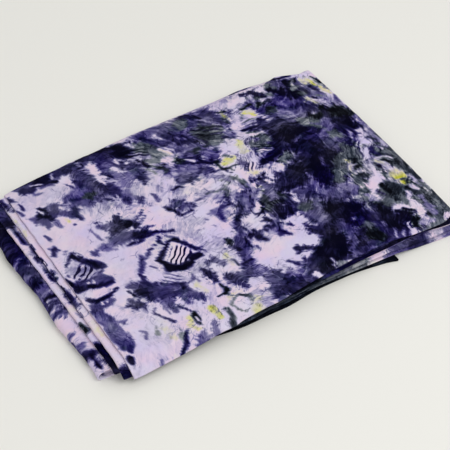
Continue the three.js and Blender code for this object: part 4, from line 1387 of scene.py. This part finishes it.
@dataclass
class DyePattern:
    """Where the dye lies: dabs placed on what shows, and scattered ones on the rest."""

    base: tuple[float, float, float] = (0.21, 0.0, 0.0)
    slip: tuple[float, float] = (1.0, 4.3)
    slip_right: tuple[float, float] = (-1.5, 1.8)
    right_from: float = 90
    right_reach: float = 80
    top_levels: float = 0.6
    soft_edge: tuple[float, float, float] = (0.9, 0.34, 4)
    crisp_edge: tuple[float, float, float] = (0.7, 0.12, 1.6)
    fullness: float = 0.8
    contrast: float = 2.4
    wobble: float = 1.0
    calm: float = 0.32
    scattered: int = 760
    petals: int = 5
    spike_gap: float = 5.0
    spike_from: float = 2.8
    spike_to: float = 15
    spike_width: float = 1.8
    spike_tip: float = 0.5
    dark_share: float = 0.88
    bars_reach: float = 1.6
    bars_end: float = 1.15
    bars_fade: float = 0.3

    def _wobbled(self, x: Array, y: Array) -> tuple[Array, Array]:
        """Moves points a little to and fro, so that no dab has a ruled edge.

        Args:
            x: the points' X.
            y: the points' Y.

        Returns:
            Their new X and Y.
        """
        shift_x = np.sin(y / 5.1 + 1.7 * np.sin(x / 11.3)) + 0.6 * np.sin(y / 2.3 + x / 4.7)
        shift_y = np.sin(x / 5.9 + 1.9 * np.sin(y / 12.7)) + 0.6 * np.sin(x / 2.6 - y / 4.1)
        return x + self.wobble * shift_x, y + self.wobble * shift_y

    def _lay_on(self, dye: Array, x: Array, y: Array, dab: Dab, shows: Array | None = None) -> None:
        """Lays one dab over the dye that is there, the wider the softer, and marks its edge.

        Args:
            dye: the depth, green, yellow and edge of the dye at each point, which it changes.
            x: the points' X.
            y: the points' Y.
            dab: the dab.
            shows: the points that the dab may reach, or None for all.
        """
        widest = max(dab.width, dab.width_to)
        softness, feather, gain = self.crisp_edge if dab.crisp else self.soft_edge
        reach = widest + softness + feather * widest
        near = (x > min(dab.x, dab.x_to) - reach) & (x < max(dab.x, dab.x_to) + reach)
        near &= (y > min(dab.y, dab.y_to) - reach) & (y < max(dab.y, dab.y_to) + reach)
        if shows is not None:
            near &= shows
        dx, dy = x[near] - dab.x, y[near] - dab.y
        along_x, along_y = dab.x_to - dab.x, dab.y_to - dab.y
        length = along_x ** 2 + along_y ** 2
        share = np.clip((dx * along_x + dy * along_y) / length, 0, 1) if length else np.zeros_like(dx)
        distance = np.hypot(dx - share * along_x, dy - share * along_y)
        width = between(dab.width, dab.width_to, share)
        soft = softness + feather * width
        cover = smooth_step((self.fullness * soft - distance + width) / (2 * soft))
        contrast = np.clip(self.contrast * abs(dye[near, 0] - dab.tone.value[0]), 0, 1)
        dye[near] = between(dye[near], np.array([*dab.tone.value, 0]), cover[:, None])
        dye[near, 3] += gain * cover * (1 - cover) * contrast

    def _spikes(self, dab: Dab, random: np.random.Generator) -> Iterable[Dab]:
        """The thin spikes that stand out from the edge of a dab, as from a tied fold.

        Args:
            dab: the dab, which gets none if it is crisp, narrow or very wide.
            random: the source of chance.

        Yields:
            The spikes.
        """
        widest = max(dab.width, dab.width_to)
        if dab.crisp or not self.spike_from <= widest <= self.spike_to:
            return
        length = math.hypot(dab.x_to - dab.x, dab.y_to - dab.y)
        count = int((2 * length + math.pi * (dab.width + dab.width_to)) / self.spike_gap)
        lean = math.atan2(dab.y_to - dab.y, dab.x_to - dab.x)
        for _ in range(count):
            share, side = random.uniform(-0.1, 1.1), random.choice((-1, 1))
            width = between(dab.width, dab.width_to, min(max(share, 0), 1))
            turn = lean + side * random.uniform(0.7, 2.4) if 0 < share < 1 else lean + random.uniform(0, 6.3)
            reach = width * random.uniform(0.9, 1.25) + random.uniform(1.5, 6)
            x, y = between(dab.x, dab.x_to, share), between(dab.y, dab.y_to, share)
            ends = x + reach * math.cos(turn), y + reach * math.sin(turn)
            yield Dab(x, y, *ends, min(width, self.spike_width), self.spike_tip, dab.tone)

    def _scattered_dabs(self, random: np.random.Generator) -> Iterable[Dab]:
        """Clusters of petals scattered over the whole cloth, in distances along and across it.

        Args:
            random: the source of chance.

        Yields:
            The petals.
        """
        darks = (VIOLET, INDIGO, NAVY, BLACK, SLATE, DUSK, LILAC)
        lights = (STRAW, LIME, WHITE)
        for _ in range(self.scattered):
            x, y = random.uniform(0, CLOTH_LENGTH / MM), random.uniform(0, CLOTH_WIDTH / MM)
            tones = darks if random.random() < self.dark_share else lights
            tone = tones[random.integers(len(tones))]
            for _ in range(self.petals):
                angle, length = random.uniform(0, 2 * math.pi), random.uniform(8, 30)
                ends = x + length * math.cos(angle), y + length * math.sin(angle)
                width = random.uniform(3, 9)
                yield Dab(x, y, *ends, width, width * random.uniform(0.3, 1.2), tone)

    def _lays(self, x: Array, y: Array) -> tuple[Array, Array]:
        """How the streaks lie.

        Args:
            x: the points' X.
            y: the points' Y.

        Returns:
            The direction of the streaks at each point, in radians, and how lively they are.
        """
        total, turn, life = np.full_like(x, 1e-6), np.zeros_like(x), np.zeros_like(x)
        for lay in LAYS:
            weight = bell(np.hypot(x - lay.x, y - lay.y), lay.radius)
            total += weight
            turn += weight * math.radians(lay.turn)
            life += weight * lay.life
        return turn / total, life / total

    def _bars(self, x: Array, y: Array) -> tuple[Array, Array]:
        """Where the barred motifs lie, each in a box with round corners.

        Args:
            x: the points' X.
            y: the points' Y.

        Returns:
            How many pitches across the bars each point lies, and how strong the bars are there.
        """
        place, strength = np.zeros_like(x), np.zeros_like(x)
        for bars in BARS:
            turn = math.radians(bars.turn)
            dx, dy = x - bars.x, y - bars.y
            along = (dx * math.cos(turn) + dy * math.sin(turn)) / bars.half_length
            across = (dy * math.cos(turn) - dx * math.sin(turn)) / bars.half_width
            reach = (np.abs(along) ** 3 + np.abs(across) ** 3) ** (1 / 3)
            place = np.where(reach < self.bars_reach, across * bars.half_width / bars.pitch, place)
            strength += bars.depth * smooth_step((self.bars_end - reach) / self.bars_fade)
        return place, strength

    def attributes(self, plan: Array, level: Array, u: Array, v: Array) -> dict[str, Array]:
        """The dye at every point of the cloth.

        Args:
            plan: the points' places on the plan.
            level: the points' levels.
            u: the distance along the cloth of each point.
            v: the distance across the cloth of each point.

        Returns:
            "dye", with depth, green and yellow; "lay", with the direction of the streaks, how
            lively the dye is, and how ragged, which is most at the edges of the dabs; and
            "bars", with the place across the bars and their strength.
        """
        random = np.random.default_rng(SEED)
        x, y = self._wobbled(plan[:, 0], plan[:, 1])
        to_right = smooth_step((plan[:, :1] - self.right_from) / self.right_reach)
        slipped = plan[:, :2] + between(np.array(self.slip), np.array(self.slip_right), to_right)
        top_x, top_y = self._wobbled(slipped[:, 0], slipped[:, 1])
        dye = np.tile(np.array([*self.base, 0]), (len(level), 1))
        for dab in self._scattered_dabs(random):
            self._lay_on(dye, u, v, dab)
        # Side dabs: mostly dye, with painted shade in the crevices at the left folds and under the top leg's
        # near edge, and a painted highlight on the bend below that edge.
        for side in SIDE_DABS:
            shows = (level >= side.levels[0]) & (level <= side.levels[1])
            self._lay_on(dye, x, y, side.dab, shows)
        on_top = level <= self.top_levels
        dye[on_top] = [*self.base, 0]
        for dab in TOP_DABS:
            self._lay_on(dye, top_x, top_y, dab, on_top)
            for spike in self._spikes(dab, random):
                self._lay_on(dye, top_x, top_y, spike, on_top)
        turn, life = self._lays(x, y)
        turn = np.where(on_top, turn, 1.2 * np.sin(u / 90) + 1.1 * np.cos(v / 70))
        life = np.where(on_top, life, 1)
        bars, strength = self._bars(top_x, top_y)
        ones = np.ones_like(turn)
        ragged = life * (self.calm + (1 - self.calm) * np.clip(dye[:, 3], 0, 1))
        return {
            "dye": np.concatenate([dye[:, :3], ones[:, None]], -1),
            "lay": np.stack([turn, life, ragged, ones], -1),
            "bars": np.stack([bars, strength * on_top, 0 * ones, ones], -1),
        }


# ---- Finishes ----


def linear(colour: Screen) -> tuple[float, float, float, float]:
    """The shader's linear colour for a screen colour.

    Args:
        colour: its red, green and blue, from 0 to 255.

    Returns:
        The linear colour, with a full alpha.
    """
    parts = [value / 255 for value in colour]
    lit = [part / 12.92 if part <= 0.04045 else ((part + 0.055) / 1.055) ** 2.4 for part in parts]
    return (*lit, 1.0)


@dataclass
class NodeSketch:
    """Adds nodes to a material's tree and joins them, one call for each node."""

    tree: bpy.types.NodeTree

    def node(self, kind: str, inputs: dict | None = None, **settings: object) -> bpy.types.Node:
        """Adds a node.

        Args:
            kind: the node's type.
            inputs: sockets to join or values to set, by the input's name or number.
            settings: the node's own properties.

        Returns:
            The node.
        """
        node = self.tree.nodes.new(kind)
        for name, value in settings.items():
            setattr(node, name, value)
        for key, value in (inputs or {}).items():
            if isinstance(value, bpy.types.NodeSocket):
                self.tree.links.new(value, node.inputs[key])
            else:
                node.inputs[key].default_value = value
        return node

    def math(self, operation: str, *values: object) -> Socket:
        """A Math node's result."""
        return self.node("ShaderNodeMath", dict(enumerate(values)), operation=operation).outputs[0]

    def times(self, first: object, second: object) -> Socket:
        """A product."""
        return self.math("MULTIPLY", first, second)

    def vector(self, operation: str, *values: object) -> Socket:
        """A Vector Math node's vector."""
        return self.node("ShaderNodeVectorMath", dict(enumerate(values)), operation=operation).outputs[0]

    def scaled(self, vector: Socket, factor: float) -> Socket:
        """A vector times a number."""
        inputs = {0: vector, "Scale": factor}
        return self.node("ShaderNodeVectorMath", inputs, operation="SCALE").outputs[0]

    def noise(self, vector: Socket, scale: float, detail: float = 2, rough: float = 0.5) -> bpy.types.Node:
        """A Noise Texture."""
        inputs = {"Vector": vector, "Scale": scale, "Detail": detail, "Roughness": rough}
        return self.node("ShaderNodeTexNoise", inputs)

    def cells(self, vector: Socket, size: float, feature: str = "F1") -> bpy.types.Node:
        """A Voronoi Texture with cells of a size."""
        inputs = {"Vector": vector, "Scale": 1 / size}
        return self.node("ShaderNodeTexVoronoi", inputs, feature=feature, voronoi_dimensions="2D")

    def bent(self, vector: Socket, scale: float, amount: float) -> Socket:
        """A vector moved a little by a noise."""
        move = self.vector("SUBTRACT", self.noise(vector, scale, 3).outputs["Color"], (0.5, 0.5, 0.5))
        return self.vector("ADD", vector, self.scaled(move, amount))

    def step(self, value: Socket, low: float, high: float) -> Socket:
        """A smooth step from 0 at low to 1 at high, or down from 1 if low is the larger."""
        inputs = {0: value, 1: low, 2: high}
        return self.node("ShaderNodeMapRange", inputs, interpolation_type="SMOOTHSTEP").outputs[0]

    def mix(self, factor: object, first: object, second: object) -> Socket:
        """A colour mixed from two."""
        return self.node("ShaderNodeMix", {0: factor, 6: first, 7: second}, data_type="RGBA").outputs[2]

    def add_share(self, total: Socket, value: Socket, middle: float, share: float) -> Socket:
        """A total plus a share of how far a value lies from its middle."""
        return self.math("MULTIPLY_ADD", self.math("SUBTRACT", value, middle), share, total)

    def attribute(self, name: str) -> Sequence[Socket]:
        """The three parts of one of the cloth's colour attributes."""
        colour = self.node("ShaderNodeAttribute", attribute_name=name).outputs["Color"]
        return self.node("ShaderNodeSeparateColor", {0: colour}).outputs

    def ramp(self, value: Socket, places: Sequence[float], colours: Sequence[Screen]) -> Socket:
        """A colour from a ramp.

        Args:
            value: the place on the ramp, from 0 to 1.
            places: the place of each stop.
            colours: the colour at each stop.

        Returns:
            The colour.
        """
        node = self.node("ShaderNodeValToRGB", {0: value})
        elements = node.color_ramp.elements
        while len(elements) < len(places):
            elements.new(0.5)
        for element, place, colour in zip(elements, places, colours):
            element.position = place
            element.color = linear(colour)
        return node.outputs[0]


@dataclass(frozen=True)
class DyedCotton:
    """Plain-woven cotton, crumpled and tied, and dyed in violet, indigo, slate and lime."""

    facet_size: float = 0.024
    petal_size: float = 0.009
    lobe_size: float = 0.005
    streak_size: float = 0.0085
    streak_stretch: float = 5.0
    streak_spread: float = 1.5
    hair_size: float = 0.009
    facet_share: float = 0.14
    petal_share: float = 0.13
    streak_share: float = 1.15
    lobe_share: float = 0.16
    fine_share: float = 0.40
    hair_share: float = 0.24
    line_share: float = 0.34
    roughness: float = 0.85
    specular: float = 0.02
    thread: float = 0.0006
    rosy_ground: Screen = (219, 198, 216)
    cool_ground: Screen = (204, 195, 224)
    grey_ground: Screen = (216, 210, 207)
    lime: Screen = (205, 203, 122)
    olive: Screen = (86, 92, 52)
    depths: Sequence[float] = (0.14, 0.31, 0.44, 0.565, 0.675, 0.80, 0.925, 1.00)
    violets: Sequence[Screen] = (
        (209, 197, 216), (171, 163, 196), (124, 117, 162), (84, 77, 131),
        (53, 47, 99), (28, 23, 69), (13, 10, 41), (5, 3, 27),
    )
    slates: Sequence[Screen] = (
        (204, 201, 206), (168, 169, 173), (120, 124, 134), (86, 92, 105),
        (56, 62, 75), (28, 33, 45), (10, 13, 23), (4, 5, 13),
    )

    def material(self) -> bpy.types.Material:
        """Builds the material.

        Returns:
            The material.
        """
        material = bpy.data.materials.new(SLOT)
        material.use_nodes = True
        material.node_tree.nodes.clear()
        sketch = NodeSketch(material.node_tree)
        uv = sketch.node("ShaderNodeUVMap", uv_map="cloth").outputs[0]
        place = sketch.scaled(uv, CLOTH_LENGTH)
        depth, green, yellow = sketch.attribute("dye")
        depth = sketch.math("ADD", depth, self._ragged(sketch, place))
        depth = sketch.math("ADD", depth, self._veins(sketch, place))
        depth = self._barred(sketch, place, depth)
        colour = self._colour(sketch, place, depth, green, yellow)
        shader = sketch.node("ShaderNodeBsdfPrincipled", {
            "Base Color": colour,
            "Roughness": self.roughness,
            "Specular IOR Level": self.specular,
            "Normal": self._weave(sketch, place),
        })
        sketch.node("ShaderNodeOutputMaterial", {"Surface": shader.outputs[0]})
        return material

    def _ragged(self, sketch: NodeSketch, place: Socket) -> Socket:
        """What facets, petals, streaks, lobes, hairs and fine mottling do to the dye.

        Args:
            sketch: the material's tree.
            place: the place on the cloth.

        Returns:
            What they add to its depth.
        """
        turn, life, ragged = sketch.attribute("lay")
        facets = sketch.cells(sketch.bent(place, 45, 0.016), self.facet_size)
        red, tint, _ = sketch.node("ShaderNodeSeparateColor", {0: facets.outputs["Color"]}).outputs
        local = sketch.vector("SUBTRACT", sketch.bent(place, 60, 0.005), facets.outputs["Position"])
        angle = sketch.add_share(turn, red, 0.5, self.streak_spread)
        inputs = {"Vector": local, "Angle": angle}
        turned = sketch.node("ShaderNodeVectorRotate", inputs, rotation_type="Z_AXIS").outputs[0]
        drawn = sketch.vector("MULTIPLY", turned, (1, self.streak_stretch, 1))
        drawn = sketch.vector("ADD", drawn, facets.outputs["Position"])
        streaks = sketch.noise(drawn, 1 / (self.streak_size * 2.4), 3, 0.6).outputs[0]
        hairs = sketch.step(sketch.noise(drawn, 1 / self.hair_size, 1).outputs[0], 0.60, 0.68)
        petals = sketch.cells(sketch.bent(place, 120, 0.008), self.petal_size).outputs["Color"]
        petal = sketch.node("ShaderNodeSeparateColor", {0: petals}).outputs[0]
        lobes = sketch.cells(sketch.bent(place, 200, 0.004), self.lobe_size).outputs["Distance"]
        fine = sketch.noise(place, 240, 4, 0.7).outputs[0]
        total = sketch.times(sketch.math("SUBTRACT", tint, 0.5), self.facet_share)
        total = sketch.add_share(total, petal, 0.5, self.petal_share)
        total = sketch.times(total, life)
        edges = sketch.times(sketch.math("SUBTRACT", streaks, 0.5), self.streak_share)
        edges = sketch.add_share(edges, lobes, 0.42, -self.lobe_share)
        edges = sketch.add_share(edges, fine, 0.5, self.fine_share)
        edges = sketch.add_share(edges, hairs, 0.0, self.hair_share)
        off = sketch.math("ABSOLUTE", sketch.math("SUBTRACT", streaks, 0.5))
        patchy = sketch.step(sketch.noise(place, 38, 1).outputs[0], 0.44, 0.60)
        lines = sketch.times(sketch.step(off, 0.030, 0.006), patchy)
        edges = sketch.add_share(edges, lines, 0.0, self.line_share)
        return sketch.math("ADD", total, sketch.times(edges, ragged))

    def _barred(self, sketch: NodeSketch, place: Socket, depth: Socket) -> Socket:
        """Draws the fine dark lines of the barred motifs.

        Args:
            sketch: the material's tree.
            place: the place on the cloth.
            depth: the depth of the dye.

        Returns:
            The depth with the lines on it.
        """
        across, strength, _ = sketch.attribute("bars")
        bend = sketch.noise(place, 55, 2).outputs[0]
        across = sketch.add_share(across, bend, 0.5, 1.3)
        wave = sketch.math("SINE", sketch.times(across, 2 * math.pi))
        some = sketch.step(sketch.noise(place, 90, 2).outputs[0], 0.30, 0.45)
        line = sketch.times(sketch.step(wave, -0.15, 0.50), strength)
        line = sketch.times(line, some)
        missing = sketch.math("MAXIMUM", sketch.math("SUBTRACT", 0.90, depth), 0.0)
        return sketch.math("MULTIPLY_ADD", line, missing, depth)

    def _veins(self, sketch: NodeSketch, place: Socket) -> Socket:
        """Short dark lines where the crumpled cloth let the dye in.

        Args:
            sketch: the material's tree.
            place: the place on the cloth.

        Returns:
            What they add to the depth of the dye.
        """
        edge = sketch.cells(sketch.bent(place, 90, 0.012), 0.016, "DISTANCE_TO_EDGE").outputs["Distance"]
        line = sketch.step(edge, 0.06, 0.01)
        some = sketch.step(sketch.noise(place, 46, 2).outputs[0], 0.54, 0.62)
        return sketch.times(sketch.times(line, some), 0.16)

    def _colour(
        self, sketch: NodeSketch, place: Socket, depth: Socket, green: Socket, yellow: Socket
    ) -> Socket:
        """The colour of the cloth.

        Args:
            sketch: the material's tree.
            place: the place on the cloth.
            depth: the depth of the dye.
            green: how green the dye is.
            yellow: how yellow it is.

        Returns:
            The colour.
        """
        wash = sketch.noise(place, 22, 3, 0.6).outputs[0]
        rosy, cool, grey = linear(self.rosy_ground), linear(self.cool_ground), linear(self.grey_ground)
        ground = sketch.mix(sketch.step(wash, 0.40, 0.62), rosy, cool)
        ground = sketch.mix(sketch.step(wash, 0.40, 0.28), ground, grey)
        violet = sketch.ramp(depth, self.depths, self.violets)
        slate = sketch.ramp(depth, self.depths, self.slates)
        mottle = sketch.noise(place, 60, 3, 0.6).outputs[0]
        greenness = sketch.add_share(green, mottle, 0.5, 1.8)
        dyed = sketch.mix(sketch.step(greenness, -0.10, 0.85), violet, slate)
        yellowness = sketch.add_share(yellow, mottle, 0.5, 1.6)
        pale = sketch.mix(sketch.step(yellowness, 0.15, 1.05), ground, linear(self.lime))
        deep = sketch.mix(sketch.step(yellowness, 0.30, 1.05), dyed, linear(self.olive))
        colour = sketch.mix(sketch.step(depth, 0.14, 0.34), pale, deep)
        tone = sketch.noise(place, 30, 3, 0.6).outputs[0]
        strength = sketch.math("MULTIPLY_ADD", tone, 1.4, 0.28)
        inputs = {"Saturation": strength, "Color": colour}
        return sketch.node("ShaderNodeHueSaturation", inputs).outputs[0]

    def _weave(self, sketch: NodeSketch, place: Socket) -> Socket:
        """The bump of the plain weave and of faint crumples in the cotton.

        Args:
            sketch: the material's tree.
            place: the place on the cloth.

        Returns:
            The normal.
        """
        x, y, _ = sketch.node("ShaderNodeSeparateXYZ", {0: place}).outputs
        turn = math.pi / self.thread
        warp = sketch.math("SINE", sketch.times(x, turn))
        weft = sketch.math("SINE", sketch.times(y, turn))
        threads = sketch.times(warp, weft)
        crumple = sketch.noise(place, 55, 4, 0.55).outputs[0]
        pucker = sketch.noise(sketch.bent(place, 60, 0.01), 140, 3, 0.6).outputs[0]
        crumple = sketch.math("MULTIPLY_ADD", pucker, 0.35, crumple)
        height = sketch.math("MULTIPLY_ADD", crumple, 40.0, threads)
        inputs = {"Strength": 0.6, "Distance": 0.00009, "Height": height}
        return sketch.node("ShaderNodeBump", inputs).outputs[0]


@dataclass(frozen=True)
class PaleFloor:
    """A plain pale floor, a warm light grey."""

    colour: Screen = (231, 230, 224)
    roughness: float = 0.9
    size: float = 8.0

    def build(self) -> bpy.types.Object:
        """Makes the floor, on which the packet lies.

        Returns:
            The floor.
        """
        mesh = bpy.data.meshes.new("floor")
        half = self.size / 2
        corners = [(-half, -half, 0), (half, -half, 0), (half, half, 0), (-half, half, 0)]
        mesh.from_pydata(corners, [], [(0, 1, 2, 3)])
        material = bpy.data.materials.new("pale_floor")
        material.use_nodes = True
        shader = material.node_tree.nodes["Principled BSDF"]
        shader.inputs["Base Color"].default_value = linear(self.colour)
        shader.inputs["Roughness"].default_value = self.roughness
        mesh.materials.append(material)
        floor = bpy.data.objects.new("floor", mesh)
        bpy.context.collection.objects.link(floor)
        return floor


# ---- Light and camera ----


@dataclass(frozen=True)
class Studio:
    """Plain soft light, and a camera at the height and turn at which the packet is seen."""

    azimuth: float = -32.26
    elevation: float = 44.84
    distance: float = 1.5
    lens: float = 110.0
    aim: tuple[float, float] = (-0.0022, -0.0104)
    world_strength: float = 0.78
    lamp_power: float = 16.0
    lamp_size: float = 1.6
    lamp_place: tuple[float, float, float] = (0.55, -1.15, 1.8)

    def _back(self) -> Vector:
        """Where the camera is.

        Returns:
            The direction from the packet to the camera.
        """
        azimuth, elevation = math.radians(self.azimuth), math.radians(self.elevation)
        return Vector((
            math.sin(azimuth) * math.cos(elevation),
            -math.cos(azimuth) * math.cos(elevation),
            math.sin(elevation),
        ))

    def camera(self, origin: Vector) -> bpy.types.Object:
        """Makes the camera.

        Args:
            origin: the origin of the plan, which the camera looks at but for a small aim.

        Returns:
            The camera.
        """
        back = self._back()
        data = bpy.data.cameras.new("camera")
        data.lens = self.lens
        camera = bpy.data.objects.new("camera", data)
        bpy.context.collection.objects.link(camera)
        right = Vector((math.cos(math.radians(self.azimuth)), math.sin(math.radians(self.azimuth)), 0))
        up = back.cross(right)
        target = origin + right * self.aim[0] + up * self.aim[1]
        camera.location = origin + back * self.distance
        camera.rotation_mode = "QUATERNION"
        camera.rotation_quaternion = (target - camera.location).to_track_quat("-Z", "Y")
        bpy.context.scene.camera = camera
        return camera

    def light(self) -> None:
        """Makes the world's even light and one large soft lamp."""
        scene = bpy.context.scene
        world = bpy.data.worlds.new("studio")
        world.use_nodes = True
        background = world.node_tree.nodes["Background"]
        background.inputs["Color"].default_value = (1, 1, 1, 1)
        background.inputs["Strength"].default_value = self.world_strength
        scene.world = world
        lamp = bpy.data.lights.new("soft_lamp", "AREA")
        lamp.shape = "DISK"
        lamp.size = self.lamp_size
        lamp.energy = self.lamp_power
        holder = bpy.data.objects.new("soft_lamp", lamp)
        holder.location = self.lamp_place
        holder.rotation_mode = "QUATERNION"
        holder.rotation_quaternion = (-holder.location).to_track_quat("-Z", "Y")
        bpy.context.collection.objects.link(holder)
        scene.view_settings.view_transform = "Standard"


# ---- The scene ----


def main() -> None:
    """Builds the cloth, dresses it, and sets up the floor, light and camera."""
    maker = FoldedCloth(Pile())
    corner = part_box(NODE)[0]
    plan = maker.plan_corner() * MM
    studio = Studio()
    studio.camera(Vector((corner.x - plan[0], corner.y - plan[1], 0)))
    studio.light()
    PaleFloor().build()

    cloth = maker.build(DyePattern())
    cloth.data.materials.append(DyedCotton().material())
    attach(cloth, "root")
    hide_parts(NODE)
    triangles = sum(len(face.vertices) - 2 for face in cloth.data.polygons)
    LOG.info("%s: %d triangles", cloth.name, triangles)


if __name__ == "__main__":
    main()
